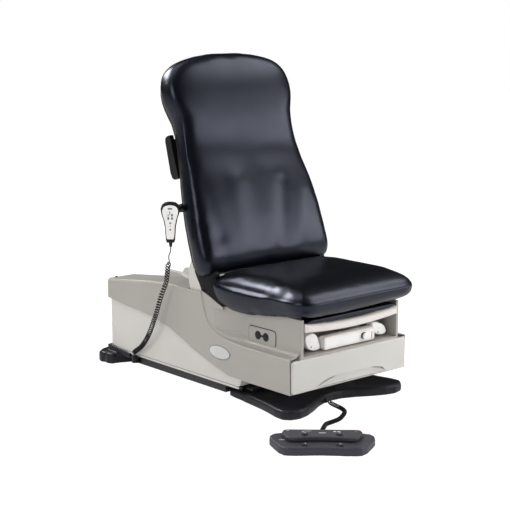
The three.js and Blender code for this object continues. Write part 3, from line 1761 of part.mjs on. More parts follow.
place(
  "foot_control_strain_relief",
  rod(
    "y",
    pedal.reliefRadius,
    [pedal.rear + fit, pedal.rear + fit + pedal.reliefLength],
    [0, pedal.reliefZ],
    12,
    pedal.reliefEnd,
  ),
  finishes.plastic,
  footControl,
);

// Cords
const gland = { x: -309, y: 746, bottom: 30, top: 62, radius: 11, bracket: 16 };
place(
  "handset_cord_gland",
  join(
    rod("z", gland.radius, [gland.bottom, gland.top], [gland.x, gland.y], 12),
    block(
      [gland.x, -rail.wide],
      [gland.y - gland.bracket, gland.y + gland.bracket],
      [gland.bottom, rail.top],
    ),
  ),
  finishes.plastic,
);

const handsetCord = { count: 54, coilRadius: 7.6, strandRadius: 2.4 };
const handsetLead = routeOf([
  [-378, 406, 560.5],
  [-378, 406, 554],
  [-376, 412, 540],
  [-374, 424, 520],
  [-374, 420, 500],
]);
const handsetRoute = routeOf([
  [-374, 420, 500],
  [-364, 444, 477],
  [-345, 481, 410],
  [-344, 516, 348],
  [-342, 560, 255],
  [-335, 610, 178],
  [-322, 675, 116],
  [-310, 741, 76.7],
  [-309, 746, 67.5],
  [gland.x, gland.y, gland.top + fit],
]);
const leadPoints = handsetLead.getSpacedPoints(8);
const handsetCurls = curls(handsetRoute, handsetCord);
console.log("handset cord gap", leastGap(handsetCurls, handsetCord.strandRadius).toFixed(2));
place(
  "handset_cord",
  tube([...leadPoints.slice(0, -1), ...handsetCurls], handsetCord.strandRadius, 5),
  finishes.plastic,
);

const footCord = { count: 26, coilRadius: 5, strandRadius: 1.9, straight: 7 };
footControl.updateMatrixWorld(true);
const reliefMouth = (beyond) =>
  footControl
    .localToWorld(new THREE.Vector3(0, pedal.rear + fit + pedal.reliefLength + beyond, pedal.reliefZ))
    .toArray();
const footRoute = routeOf([
  [footGland.x, footGland.front - fit, footGland.z],
  [footGland.x, footGland.front - footCord.straight, footGland.z],
  [-63, -142, 13],
  [-65, -165, 11],
  [-71, -207, 9],
  [-92, -242, 8],
  [-155, -283, 8],
  [-203, -294, 8],
  [-242, -303, 10],
  [-290, -338, 15],
  reliefMouth(footCord.straight),
  reliefMouth(fit),
]);
const footCurls = curls(footRoute, footCord);
console.log("foot cord gap", leastGap(footCurls, footCord.strandRadius).toFixed(2));
place("foot_cord", tube(footCurls, footCord.strandRadius, 5), finishes.plastic);

examTable.add(middleStage, lift, backrest, handset, footControl);

export default examTable;
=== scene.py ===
"""The looks of a barrier free exam table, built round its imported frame."""

import json
import logging
import math
from collections.abc import Callable, Iterable, Sequence
from dataclasses import dataclass
from enum import Enum

import bmesh
import bpy
import numpy as np
from mathutils import Matrix, Vector

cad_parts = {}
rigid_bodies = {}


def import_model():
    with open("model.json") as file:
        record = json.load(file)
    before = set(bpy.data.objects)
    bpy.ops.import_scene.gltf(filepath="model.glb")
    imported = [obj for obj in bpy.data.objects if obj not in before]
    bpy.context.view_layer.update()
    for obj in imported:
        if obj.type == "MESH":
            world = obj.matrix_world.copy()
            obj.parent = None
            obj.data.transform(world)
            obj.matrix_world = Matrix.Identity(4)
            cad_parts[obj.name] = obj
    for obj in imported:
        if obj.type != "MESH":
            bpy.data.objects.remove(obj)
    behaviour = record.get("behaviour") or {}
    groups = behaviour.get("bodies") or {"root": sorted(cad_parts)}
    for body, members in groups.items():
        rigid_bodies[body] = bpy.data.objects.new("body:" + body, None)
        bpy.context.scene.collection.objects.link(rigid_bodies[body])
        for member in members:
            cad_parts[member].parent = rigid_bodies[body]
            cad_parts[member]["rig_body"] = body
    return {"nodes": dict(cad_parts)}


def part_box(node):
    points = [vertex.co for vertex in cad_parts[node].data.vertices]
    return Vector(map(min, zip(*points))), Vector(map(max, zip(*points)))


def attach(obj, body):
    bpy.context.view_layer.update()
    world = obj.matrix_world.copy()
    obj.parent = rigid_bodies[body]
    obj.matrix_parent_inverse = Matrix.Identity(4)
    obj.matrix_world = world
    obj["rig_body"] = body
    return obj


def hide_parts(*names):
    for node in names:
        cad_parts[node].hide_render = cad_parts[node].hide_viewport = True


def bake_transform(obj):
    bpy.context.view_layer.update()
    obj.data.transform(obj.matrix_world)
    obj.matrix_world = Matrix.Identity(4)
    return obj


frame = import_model()

LOG = logging.getLogger("exam_table")
MM = 0.001
Point = Sequence[float]
Bmesh = bmesh.types.BMesh
Piece = bpy.types.Object
SIDES = (("left", -1), ("right", 1))
FRONT_VIEW = Matrix(((1, 0, 0, 0), (0, 0, -1, 0), (0, 1, 0, 0), (0, 0, 0, 1)))

# How copies of CAD nodes are welded, in metres and degrees, and how edges are chosen and rounded
WELD_GAP = 0.02 * MM
FLAT_TURN = 0.5
EDGE_TURN = 30.0
EDGE_STEPS = 3
PLATE_TURN = 40.0
CREASE_RADIANS = 0.4
SAME_WAY = 0.999

# What the finishes share
SCUFF_COLOUR = "#A8A6A2"
DUST_COLOUR = "#B9B5AC"
WORN_ROUGHER = 0.3
BUMP_STRENGTH = 0.6


# Node trees and finishes


class Graph:
    """Short calls for building one node tree."""

    def __init__(self, tree: bpy.types.NodeTree) -> None:
        """Keeps the tree that the nodes go in."""
        self.tree = tree

    def add(self, kind: str, values: dict | None = None, **settings: object) -> bpy.types.Node:
        """Adds a node.

        Args:
            kind: the node's type name, without the ShaderNode prefix.
            values: a number or a socket for each input, by its name or index.
            settings: the node's own properties.

        Returns:
            The new node.
        """
        node = self.tree.nodes.new(f"ShaderNode{kind}")
        for name, value in settings.items():
            setattr(node, name, value)
        for name, value in (values or {}).items():
            if isinstance(value, bpy.types.NodeSocket):
                self.tree.links.new(value, node.inputs[name])
            else:
                node.inputs[name].default_value = value
        return node

    def maths(self, operation: str, first: object, second: object = 0.0) -> bpy.types.NodeSocket:
        """Adds a Math node on two numbers or sockets and returns its output."""
        return self.add("Math", {0: first, 1: second}, operation=operation).outputs[0]

    def spread(
        self, value: object, low: float, high: float, to_low: float, to_high: float
    ) -> bpy.types.NodeSocket:
        """Maps a range of a value to another range, held at its ends."""
        values = {0: value, 1: low, 2: high, 3: to_low, 4: to_high}
        return self.add("MapRange", values).outputs[0]

    def noise(self, scale: object, detail: float = 3.0, at: object = None) -> bpy.types.NodeSocket:
        """Adds a noise texture on Object coordinates, or on the coordinates given."""
        where = at or self.add("TexCoord").outputs["Object"]
        values = {"Vector": where, "Scale": scale, "Detail": detail}
        return self.add("TexNoise", values).outputs[0]


class Texture(Enum):
    """The small scale surfaces that the table's materials have."""

    MOULDED = "moulded"
    PAINTED = "painted"
    VINYL = "vinyl"
    BRUSHED = "brushed"
    LAMINATE = "laminate"


@dataclass(frozen=True)
class TextureRecipe:
    """How one texture group is made.

    Attributes:
        grain: marks per metre of the fine relief.
        mottle: marks per metre of the broad change of tone.
        stretch: how much the coordinates are scaled along X, Y and Z.
        cells: whether the fine relief is made of closed cells, as in leather grain.
    """

    grain: float
    mottle: float
    stretch: tuple[float, float, float] = (1.0, 1.0, 1.0)
    cells: bool = False


RECIPES = {
    Texture.MOULDED: TextureRecipe(grain=900.0, mottle=7.0),
    Texture.PAINTED: TextureRecipe(grain=420.0, mottle=3.5),
    Texture.VINYL: TextureRecipe(grain=620.0, mottle=9.0, cells=True),
    Texture.BRUSHED: TextureRecipe(grain=700.0, mottle=20.0, stretch=(1.0, 0.04, 1.0)),
    Texture.LAMINATE: TextureRecipe(grain=60.0, mottle=8.0, stretch=(1.0, 0.12, 1.0)),
}


def new_group(name: str, inputs: dict[str, float], outputs: Iterable[str]) -> bpy.types.NodeTree:
    """Starts a shader node group with named number sockets.

    Args:
        name: the group's name.
        inputs: the value of each input, by its name.
        outputs: the names of the outputs.

    Returns:
        The new group.
    """
    group = bpy.data.node_groups.new(name, "ShaderNodeTree")
    for label, value in inputs.items():
        socket = group.interface.new_socket(label, in_out="INPUT", socket_type="NodeSocketFloat")
        socket.default_value = value
    for label in outputs:
        group.interface.new_socket(label, in_out="OUTPUT", socket_type="NodeSocketFloat")
    return group


def texture_group(texture: Texture) -> bpy.types.NodeTree:
    """The group of a texture, which puts out its relief height and its change of tone.

    Args:
        texture: which of the textures.

    Returns:
        The group, made at the first call and shared after that.
    """
    name = f"{texture.value}_texture"
    if name in bpy.data.node_groups:
        return bpy.data.node_groups[name]
    recipe = RECIPES[texture]
    group = new_group(name, {"Scale": 1.0}, ("Height", "Tone"))
    graph = Graph(group)
    entry = group.nodes.new("NodeGroupInput")
    leave = group.nodes.new("NodeGroupOutput")
    where = graph.add("TexCoord").outputs["Object"]
    where = graph.add("Mapping", {"Vector": where, "Scale": recipe.stretch}).outputs[0]
    fine = graph.maths("MULTIPLY", entry.outputs[0], recipe.grain)
    broad = graph.maths("MULTIPLY", entry.outputs[0], recipe.mottle)
    if recipe.cells:
        cell = graph.add("TexVoronoi", {"Vector": where, "Scale": fine}, feature="SMOOTH_F1")
        height = graph.spread(cell.outputs[0], 0.0, 0.7, 1.0, 0.0)
    else:
        height = graph.noise(fine, 2.0, where)
    tone = graph.spread(graph.noise(broad, 5.0, where), 0.3, 0.7, 0.0, 1.0)
    group.links.new(height, leave.inputs["Height"])
    group.links.new(tone, leave.inputs["Tone"])
    return group


@dataclass(frozen=True)
class WearRecipe:
    """How the light scuffs and the dust lie.

    Attributes:
        patches: marks per metre of the worn patches.
        patch_levels: the noise levels between which a patch fades in.
        scratches: marks per metre of the scratches in them.
        scratch_levels: the noise levels between which a scratch fades in.
        level_from: how far a face looks up where dust starts to settle.
        dust: marks per metre of the dust.
        dust_levels: the noise levels between which it gets thicker.
        least_dust: its least share on a level face.
    """

    patches: float = 6.0
    patch_levels: tuple[float, float] = (0.52, 0.7)
    scratches: float = 160.0
    scratch_levels: tuple[float, float] = (0.55, 0.75)
    level_from: float = 0.55
    dust: float = 28.0
    dust_levels: tuple[float, float] = (0.35, 0.75)
    least_dust: float = 0.2


WEAR = WearRecipe()


def wear_group() -> bpy.types.NodeTree:
    """The group of light scuffs and settled dust, which puts out a mask for each.

    Returns:
        The group, made at the first call and shared after that.
    """
    name = "scuffs_and_dust"
    if name in bpy.data.node_groups:
        return bpy.data.node_groups[name]
    group = new_group(name, {"Scuffs": 0.5, "Dust": 0.5}, ("Scuff Mask", "Dust Mask"))
    graph = Graph(group)
    entry = group.nodes.new("NodeGroupInput")
    leave = group.nodes.new("NodeGroupOutput")
    patches = graph.spread(graph.noise(WEAR.patches, 4.0), *WEAR.patch_levels, 0.0, 1.0)
    scratches = graph.spread(graph.noise(WEAR.scratches, 6.0), *WEAR.scratch_levels, 0.0, 1.0)
    scuffs = graph.maths("MULTIPLY", patches, scratches)
    scuffs = graph.maths("MULTIPLY", scuffs, entry.outputs["Scuffs"])
    up = graph.add("SeparateXYZ", {0: graph.add("NewGeometry").outputs["Normal"]}).outputs["Z"]
    level = graph.spread(up, WEAR.level_from, 1.0, 0.0, 1.0)
    settled = graph.spread(graph.noise(WEAR.dust, 6.0), *WEAR.dust_levels, WEAR.least_dust, 1.0)
    dust = graph.maths("MULTIPLY", graph.maths("MULTIPLY", level, settled), entry.outputs["Dust"])
    group.links.new(scuffs, leave.inputs["Scuff Mask"])
    group.links.new(dust, leave.inputs["Dust Mask"])
    return group


def linear(code: str, lightness: float = 1.0) -> tuple[float, float, float, float]:
    """A colour written as a web code, as linear light, times a lightness."""
    parts = [int(code[i : i + 2], 16) / 255 for i in (1, 3, 5)]
    light = [p / 12.92 if p <= 0.04045 else ((p + 0.055) / 1.055) ** 2.4 for p in parts]
    return (*(min(1.0, value * lightness) for value in light), 1.0)


@dataclass(frozen=True)
class Finish:
    """One finish of the table.

    Attributes:
        name: the material's name.
        colour: its colour as a web code.
        texture: its small scale surface.
        roughness: its mean roughness.
        sheen_off: how far the roughness goes up and down with the tone.
        shade: the share by which the colour gets lighter and darker.
        relief: the height of the fine relief, in metres.
        metallic: 1 for bare metal.
        specular: the strength of its plain reflection.
        tint: the colour of that reflection.
        scuffs: how strong the light scuffs are.
        dust: how much dust has settled on level places.
    """

    name: str
    colour: str
    texture: Texture
    roughness: float
    sheen_off: float = 0.06
    shade: float = 0.04
    relief: float = 0.00004
    metallic: float = 0.0
    specular: float = 0.5
    tint: tuple[float, float, float] = (1.0, 1.0, 1.0)
    scuffs: float = 0.25
    dust: float = 0.1

    def material(self) -> bpy.types.Material:
        """The finish as a material, made at the first call and shared after that.

        Returns:
            The material.
        """
        if self.name in bpy.data.materials:
            return bpy.data.materials[self.name]
        material = bpy.data.materials.new(self.name)
        material.use_nodes = True
        graph = Graph(material.node_tree)
        shader = material.node_tree.nodes["Principled BSDF"]
        surface = graph.add("Group", node_tree=texture_group(self.texture))
        wear = graph.add("Group", node_tree=wear_group())
        wear.inputs["Scuffs"].default_value = self.scuffs
        wear.inputs["Dust"].default_value = self.dust
        tone = surface.outputs["Tone"]
        scuff_mask, dust_mask = wear.outputs["Scuff Mask"], wear.outputs["Dust Mask"]
        darker, lighter = linear(self.colour, 1 - self.shade), linear(self.colour, 1 + self.shade)
        base = self.mixed(graph, tone, darker, lighter)
        scuffed = self.mixed(graph, scuff_mask, base, linear(SCUFF_COLOUR))
        dusty = self.mixed(graph, dust_mask, scuffed, linear(DUST_COLOUR))
        low, high = self.roughness - self.sheen_off, self.roughness + self.sheen_off
        rough = graph.spread(tone, 0.0, 1.0, low, high)
        worn = graph.maths("ADD", scuff_mask, dust_mask)
        rough = graph.maths("ADD", rough, graph.maths("MULTIPLY", worn, WORN_ROUGHER))
        values = {"Height": surface.outputs["Height"], "Distance": self.relief, "Strength": BUMP_STRENGTH}
        bump = graph.add("Bump", values)
        for name, socket in {"Base Color": dusty, "Roughness": rough, "Normal": bump.outputs[0]}.items():
            material.node_tree.links.new(socket, shader.inputs[name])
        shader.inputs["Metallic"].default_value = self.metallic
        shader.inputs["Specular IOR Level"].default_value = self.specular
        shader.inputs["Specular Tint"].default_value = (*self.tint, 1.0)
        return material

    @staticmethod
    def mixed(graph: Graph, share: object, first: object, second: object) -> bpy.types.NodeSocket:
        """Adds a colour Mix node and returns its output.

        Args:
            graph: the tree that the node goes in.
            share: a socket with the share of the second colour.
            first: a colour, or a socket with one.
            second: the other colour, or a socket with it.

        Returns:
            The output.
        """
        node = graph.add("Mix", data_type="RGBA")
        sockets = {"Factor": share, "A": first, "B": second}
        for name, value in sockets.items():
            kind = "VALUE" if name == "Factor" else "RGBA"
            socket = next(s for s in node.inputs if s.name == name and s.type == kind)
            if isinstance(value, bpy.types.NodeSocket):
                graph.tree.links.new(value, socket)
            else:
                socket.default_value = value
        return next(s for s in node.outputs if s.type == "RGBA")


def painted(name: str, colour: str, roughness: float, scuffs: float, dust: float) -> Finish:
    """The finish of a painted cover that is kept clean."""
    return Finish(name, colour, Texture.PAINTED, roughness, scuffs=scuffs, dust=dust)


def dark_moulding(
    name: str, colour: str, roughness: float, relief: float, specular: float, scuffs: float
) -> Finish:
    """The finish of a dark plastic or rubber piece without dust.

    Args:
        name: the material's name.
        colour: its colour as a web code.
        roughness: its mean roughness.
        relief: the height of the fine relief, in metres.
        specular: the strength of its plain reflection.
        scuffs: how strong the light scuffs are.

    Returns:
        The finish.
    """
    return Finish(
        name,
        colour,
        Texture.MOULDED,
        roughness,
        relief=relief,
        specular=specular,
        scuffs=scuffs,
        dust=0.0,
    )


def smooth(
    name: str, colour: str, roughness: float, specular: float = 0.5, texture: Texture = Texture.MOULDED
) -> Finish:
    """A fine, dustless finish for signs, joints and bare metal.

    Args:
        name: the material's name.
        colour: its colour as a web code.
        roughness: its mean roughness.
        specular: the strength of its plain reflection.
        texture: its small scale surface, brushed for bare metal.

    Returns:
        The finish.
    """
    metallic = 1.0 if texture is Texture.BRUSHED else 0.0
    return Finish(
        name, colour, texture, roughness, metallic=metallic, relief=0.00001, specular=specular, dust=0.0
    )


SHROUD = painted("warm_grey_shroud", "#A9A49E", 0.5, scuffs=0.1, dust=0.04)
PALE_SHROUD = painted("pale_grey_shroud", "#CFCCC7", 0.5, scuffs=0.1, dust=0.04)
DRAWER_FACE = painted("drawer_grey", "#CFCDC8", 0.46, scuffs=0.08, dust=0.02)
FRAME_PAINT = painted("black_frame_paint", "#1C1C1F", 0.48, scuffs=0.25, dust=0.1)
FOOT = dark_moulding("dark_foot_plastic", "#1A1A21", 0.42, relief=0.00005, specular=0.3, scuffs=0.04)
CONTROL = dark_moulding("charcoal_plastic", "#3A3A42", 0.5, relief=0.00005, specular=0.35, scuffs=0.02)
BLACK = dark_moulding("black_plastic_gloss", "#0B0B0E", 0.38, relief=0.00003, specular=0.35, scuffs=0.02)
RUBBER = dark_moulding("black_boot", "#060609", 0.6, relief=0.00005, specular=0.25, scuffs=0.0)
# Dark joint colour round the outlet; the same colour is painted shade in the gap round the drawer and in
# the groove over the lower lip
SEAM_AND_GAP_SHADE = smooth("dark_joint_and_gap_shade", "#37352F", 0.7, specular=0.2)
# Painted shade of holes: flat dark marks where the socket slots and the pan's slit are dark inside
SLOT_SHADE = smooth("painted_slot_shade", "#050506", 0.8, specular=0.1)
CORD_BLACK = smooth("black_cord", "#09090B", 0.4, specular=0.25)
SIGN_PLATE = smooth("sign_plate", "#CBCAC7", 0.42)
MARK_PALE = smooth("mark_pale", "#C9C9CE", 0.5)
MARK_GREY = smooth("mark_grey", "#8C8C92", 0.5)
MARK_DARK = smooth("mark_dark", "#3A3C40", 0.5)
SIGNAL_RED = smooth("signal_red", "#A33A32", 0.4)
STEEL = smooth("bright_steel", "#B4B6B9", 0.3, texture=Texture.BRUSHED)
ZINC = smooth("zinc_plate", "#8D9095", 0.42, texture=Texture.BRUSHED)
VINYL = Finish(
    "blue_black_vinyl",
    "#04060D",
    Texture.VINYL,
    0.31,
    sheen_off=0.03,
    shade=0.12,
    relief=0.00001,
    specular=0.46,
    tint=(0.70, 0.75, 1.0),
    scuffs=0.0,
    dust=0.0,
)
WHITE = Finish("white_plastic", "#E9E7E2", Texture.MOULDED, 0.38, shade=0.02, scuffs=0.05)
TRAY_WHITE = Finish("tray_white", "#EAE4DF", Texture.MOULDED, 0.42, shade=0.02, scuffs=0.05)
PLASTIC = Finish("black_plastic", "#1B1B1F", Texture.MOULDED, 0.4, relief=0.00005)
LAMINATE = Finish("dark_board", "#2B2927", Texture.LAMINATE, 0.6, shade=0.15)


# Meshes


def linked(name: str, data: bpy.types.ID) -> Piece:
    """A new object with that mesh, curve, lamp or camera, in the scene."""
    piece = bpy.data.objects.new(name, data)
    bpy.context.scene.collection.objects.link(piece)
    return piece


def from_bmesh(name: str, bm: Bmesh, turn_out: bool = True) -> Piece:
    """A new object made of a bmesh, which is freed, with its faces turned out if need be.

    Args:
        name: the object's name.
        bm: the bmesh.
        turn_out: whether its faces are turned out first.

    Returns:
        The new object.
    """
    if turn_out:
        bmesh.ops.recalc_face_normals(bm, faces=bm.faces)
    mesh = bpy.data.meshes.new(name)
    bm.to_mesh(mesh)
    bm.free()
    return linked(name, mesh)


def smoothed(piece: Piece, sharp_angle: float) -> Piece:
    """Shades a piece smooth, apart from edges sharper than an angle in degrees."""
    piece.data.shade_smooth()
    piece.data.set_sharp_from_angle(angle=math.radians(sharp_angle))
    return piece


def apply_modifiers(piece: Piece) -> None:
    """Puts what the piece's modifiers make in its mesh, and removes them.

    Args:
        piece: the piece, changed in place.
    """
    graph = bpy.context.evaluated_depsgraph_get()
    mesh = bpy.data.meshes.new_from_object(piece.evaluated_get(graph))
    piece.modifiers.clear()
    piece.data = mesh


def dressed(piece: Piece, finish: Finish, body: str, *nodes: str) -> Piece:
    """Gives a piece its material and its body, and the CAD nodes that it stands for.

    Args:
        piece: the finished mesh, in the row frame.
        finish: its finish.
        body: the CAD body that it rides on.
        nodes: the CAD nodes that it replaces, if any.

    Returns:
        The same piece.
    """
    piece.data.materials.clear()
    piece.data.materials.append(finish.material())
    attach(piece, body)
    if nodes:
        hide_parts(*nodes)
    LOG.info("made %s on %s", piece.name, body)
    return piece


def welded(node: str, name: str) -> Piece:
    """A copy of a CAD node with its triangles welded and its flat faces whole.

    Args:
        node: the CAD node's name.
        name: the copy's name.

    Returns:
        The copy.
    """
    bm = bmesh.new()
    bm.from_mesh(frame["nodes"][node].data)
    bmesh.ops.remove_doubles(bm, verts=bm.verts, dist=WELD_GAP)
    flat = math.radians(FLAT_TURN)
    bmesh.ops.dissolve_limit(bm, angle_limit=flat, verts=bm.verts, edges=bm.edges)
    return from_bmesh(name, bm)


def rounded(piece: Piece, width: float) -> Piece:
    """Rounds a piece's edges with a live bevel and evens out its shading.

    Args:
        piece: the mesh piece.
        width: the radius of the edges, in metres.

    Returns:
        The same piece.
    """
    smoothed(piece, EDGE_TURN)
    bevel = piece.modifiers.new("edges", "BEVEL")
    bevel.width = width
    bevel.segments = EDGE_STEPS
    bevel.limit_method = "ANGLE"
    bevel.angle_limit = math.radians(EDGE_TURN)
    bevel.use_clamp_overlap = True
    even = piece.modifiers.new("shading", "WEIGHTED_NORMAL")
    even.keep_sharp = True
    return piece


def refined(node: str, finish: Finish, width: float) -> Piece:
    """A copy of a CAD node with rounded edges, which stands for it.

    Args:
        node: the CAD node's name.
        finish: its finish.
        width: the radius of its edges, in metres.

    Returns:
        The new piece, named after the node.
    """
    piece = rounded(welded(node, f"{node}_finished"), width)
    return dressed(piece, finish, frame["nodes"][node]["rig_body"], node)


def evened(piece: Piece, voxel: float, passes: int) -> Piece:
    """Gives a piece an even mesh whose corners run together softly.

    Args:
        piece: the piece, changed in place.
        voxel: the size of the new mesh, in metres.
        passes: how often it is smoothed.

    Returns:
        The same piece.
    """
    even = piece.modifiers.new("even", "REMESH")
    even.mode = "VOXEL"
    even.voxel_size = voxel
    soft = piece.modifiers.new("soft", "SMOOTH")
    soft.factor = 0.5
    soft.iterations = passes
    apply_modifiers(piece)
    return piece


def moulded(node: str, finish: Finish, voxel: float, passes: int) -> Piece:
    """A softly rounded copy of a CAD node, which stands for it.

    Args:
        node: the CAD node's name.
        finish: its finish.
        voxel: the size of the new mesh, in metres.
        passes: how often it is smoothed.

    Returns:
        The new piece, named after the node.
    """
    piece = evened(welded(node, f"{node}_finished"), voxel, passes)
    piece.data.shade_smooth()
    return dressed(piece, finish, frame["nodes"][node]["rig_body"], node)


def catmull(points: Sequence[Point], steps: int, closed: bool = False) -> list[Vector]:
    """A smooth curve through points, each stretch in a number of steps.

    Args:
        points: the points that it runs through.
        steps: the steps from each point to the next.
        closed: whether it comes back to its start.

    Returns:
        The close points of the curve.
    """
    knots = [Vector(p) for p in points]
    count = len(knots)
    ends = (lambda i: knots[i % count]) if closed else (lambda i: knots[min(max(i, 0), count - 1)])
    line = []
    for index in range(count if closed else count - 1):
        a, b, c, d = (ends(index + shift) for shift in (-1, 0, 1, 2))
        for step in range(steps):
            t = step / steps
            bend = 2 * b + (c - a) * t + (2 * a - 5 * b + 4 * c - d) * t**2
            line.append(0.5 * (bend + (3 * b - a - 3 * c + d) * t**3))
    if not closed:
        line.append(knots[-1])
    return line


def eased(share: float) -> float:
    """A share from 0 to 1 that starts and ends softly."""
    held = min(1.0, max(0.0, share))
    return held * held * (3 - 2 * held)


# Outlines, and plates raised from them


def side_view(side: int) -> Matrix:
    """Puts an outline drawn in y and z on one side, raised away from the middle."""
    return Matrix(((0, 0, side, 0), (1, 0, 0, 0), (0, 1, 0, 0), (0, 0, 0, 1)))


def oval(half: float, tall: float, count: int) -> list[tuple[float, float]]:
    """The points of an oval round the origin."""
    turns = [2 * math.pi * step / count for step in range(count)]
    return [(half * math.cos(turn), tall * math.sin(turn)) for turn in turns]


def round_rect(width: float, height: float, radius: float, steps: int = 6) -> list[tuple[float, float]]:
    """The points of a rectangle with round corners, round the origin.

    Args:
        width: its width, in metres.
        height: its height.
        radius: the radius of its corners.
        steps: the steps of one corner.

    Returns:
        The points, once round.
    """
    held = min(radius, width / 2, height / 2)
    points = []
    for corner, (u, v) in enumerate(((1, 1), (-1, 1), (-1, -1), (1, -1))):
        middle = (u * (width / 2 - held), v * (height / 2 - held))
        for step in range(steps + 1):
            turn = math.pi / 2 * (corner + step / steps)
            points.append((middle[0] + held * math.cos(turn), middle[1] + held * math.sin(turn)))
    return points


def arrow(size: float) -> list[tuple[float, float]]:
    """The points of a plain triangle that points up."""
    return [(-size / 2, -size / 2), (size / 2, -size / 2), (0.0, size / 2)]


def moved(outline: Sequence[Point], u: float, v: float) -> list[tuple[float, float]]:
    """An outline moved in its own plane."""
    return [(a + u, b + v) for a, b in outline]


def bevelled(bm: Bmesh, edges: list[bmesh.types.BMEdge], width: float, segments: int) -> None:
    """Rounds edges of a bmesh as far as there is room.

    Args:
        bm: the bmesh, changed in place.
        edges: the edges to round.
        width: the width of the rounding, in metres.
        segments: its steps.
    """
    bmesh.ops.bevel(
        bm,
        geom=edges,
        offset=width,
        segments=segments,
        profile=0.5,
        affect="EDGES",
        material=-1,
        clamp_overlap=True,
    )


def plate(
    name: str,
    outlines: Sequence[Sequence[Point]],
    span: tuple[float, float],
    edge: float,
    place: Matrix,
    finish: Finish,
    body: str,
    *nodes: str,
    segments: int = 3,
) -> Piece:
    """Plates raised from flat outlines, with their upper edges rounded, in their finish.

    Args:
        name: the piece's name.
        outlines: the corners of each plate, two numbers each, in metres.
        span: where the plates start and end along the third axis.
        edge: the radius of the upper edges.
        place: the view that the outlines are drawn in.
        finish: the piece's finish.
        body: the CAD body that it rides on.
        nodes: the CAD nodes that it replaces, if any.
        segments: the steps of a rounded edge.

    Returns:
        The new piece.
    """
    bottom, top = span
    bm = bmesh.new()
    for outline in outlines:
        bm.faces.new([bm.verts.new((u, v, bottom)) for u, v in outline])
    raised = bmesh.ops.extrude_face_region(bm, geom=bm.faces[:])["geom"]
    tops = [item for item in raised if isinstance(item, bmesh.types.BMVert)]
    bmesh.ops.translate(bm, verts=tops, vec=(0.0, 0.0, top - bottom))
    bmesh.ops.recalc_face_normals(bm, faces=bm.faces)
    if edge > 0:
        upper = set(tops)
        bevelled(bm, [e for e in bm.edges if upper.issuperset(e.verts)], edge, segments)
    bm.transform(place)
    return dressed(smoothed(from_bmesh(name, bm), PLATE_TURN), finish, body, *nodes)


def sheet(
    name: str,
    across: int,
    along: int,
    at: Callable[[float, float], Vector],
    thickness: float,
    out: Point,
) -> Piece:
    """A curved sheet with a wall.

    Args:
        name: the piece's name.
        across: its faces across.
        along: its faces along.
        at: the place of a point, from its shares across and along.
        thickness: the wall, inwards.
        out: roughly where its outer face looks.

    Returns:
        The new piece.
    """
    bm = bmesh.new()
    bmesh.ops.create_grid(bm, x_segments=across, y_segments=along, size=0.5)
    for vertex in bm.verts:
        vertex.co = at(vertex.co.x + 0.5, vertex.co.y + 0.5)
    bm.normal_update()
    if sum(face.normal.dot(Vector(out)) * face.calc_area() for face in bm.faces) < 0:
        bmesh.ops.reverse_faces(bm, faces=bm.faces)
    piece = from_bmesh(name, bm, turn_out=False)
    piece.data.shade_smooth()
    wall = piece.modifiers.new("wall", "SOLIDIFY")
    wall.thickness = thickness
    wall.offset = -1.0
    return piece


def soften(piece: Piece, chosen: Callable[[Vector, Vector], bool], width: float, segments: int) -> None:
    """Rounds the creases of a piece that a test on their two ends chooses.

    Args:
        piece: the piece, changed in place.
        chosen: the test on an edge's two ends.
        width: the width of the rounding, in metres.
        segments: its steps.
    """
    bm = bmesh.new()
    bm.from_mesh(piece.data)
    creases = [edge for edge in bm.edges if edge.calc_face_angle(0.0) > CREASE_RADIANS]
    edges = [edge for edge in creases if chosen(*(vertex.co for vertex in edge.verts))]
    if edges:
        bevelled(bm, edges, width, segments)
    bm.to_mesh(piece.data)
    bm.free()
    LOG.info("softened %d edges of %s", len(edges), piece.name)


def face_place(node: str, towards: Point) -> Matrix:
    """The middle and axes of a CAD node's flat face that looks one way, with Z out of it.

    Args:
        node: the CAD node.
        towards: roughly where the face looks.

    Returns:
        The matrix of the face.
    """
    mesh = frame["nodes"][node].data
    aim = Vector(towards).normalized()
    best = max(mesh.polygons, key=lambda face: face.normal.dot(aim) * face.area**0.5)
    flat = [face for face in mesh.polygons if face.normal.dot(best.normal) > SAME_WAY]
    area = sum(face.area for face in flat)
    middle = sum((face.center * face.area for face in flat), Vector()) / area
    out = best.normal.normalized()
    side = Vector((0.0, 0.0, 1.0)).cross(out).normalized()
    up = out.cross(side)
    turn = Matrix((side, up, out)).transposed().to_4x4()
    return Matrix.Translation(middle) @ turn


def box_of(node: str) -> tuple[list[float], list[float]]:
    """The middle and the size of a CAD node's box."""
    low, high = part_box(node)
    return [(a + b) / 2 for a, b in zip(low, high)], [b - a for a, b in zip(low, high)]


# Camera, light and floor


@dataclass(frozen=True)
class Lamp:
    """An area lamp that looks at the middle of the table.

    Attributes:
        name: the lamp's name.
        place: its middle, in metres.
        size: its width and height, in metres.
        watts: its power.
        mirrored: whether glossy faces mirror it.
        lighting: whether it lights faces, beside being mirrored.
    """

    name: str
    place: tuple[float, float, float]
    size: tuple[float, float]
    watts: float
    mirrored: bool = True
    lighting: bool = True

    def build(self, aim: Point) -> None:
        """Makes the lamp, turned to a point.

        Args:
            aim: the point, in metres.
        """
        data = bpy.data.lights.new(self.name, "AREA")
        data.shape = "RECTANGLE"
        data.size, data.size_y = self.size
        data.energy = self.watts
        lamp = linked(self.name, data)
        turn = (Vector(aim) - Vector(self.place)).to_track_quat("-Z", "Y").to_matrix().to_4x4()
        lamp.matrix_world = Matrix.Translation(self.place) @ turn
        lamp.visible_glossy = self.mirrored
        lamp.visible_diffuse = self.lighting


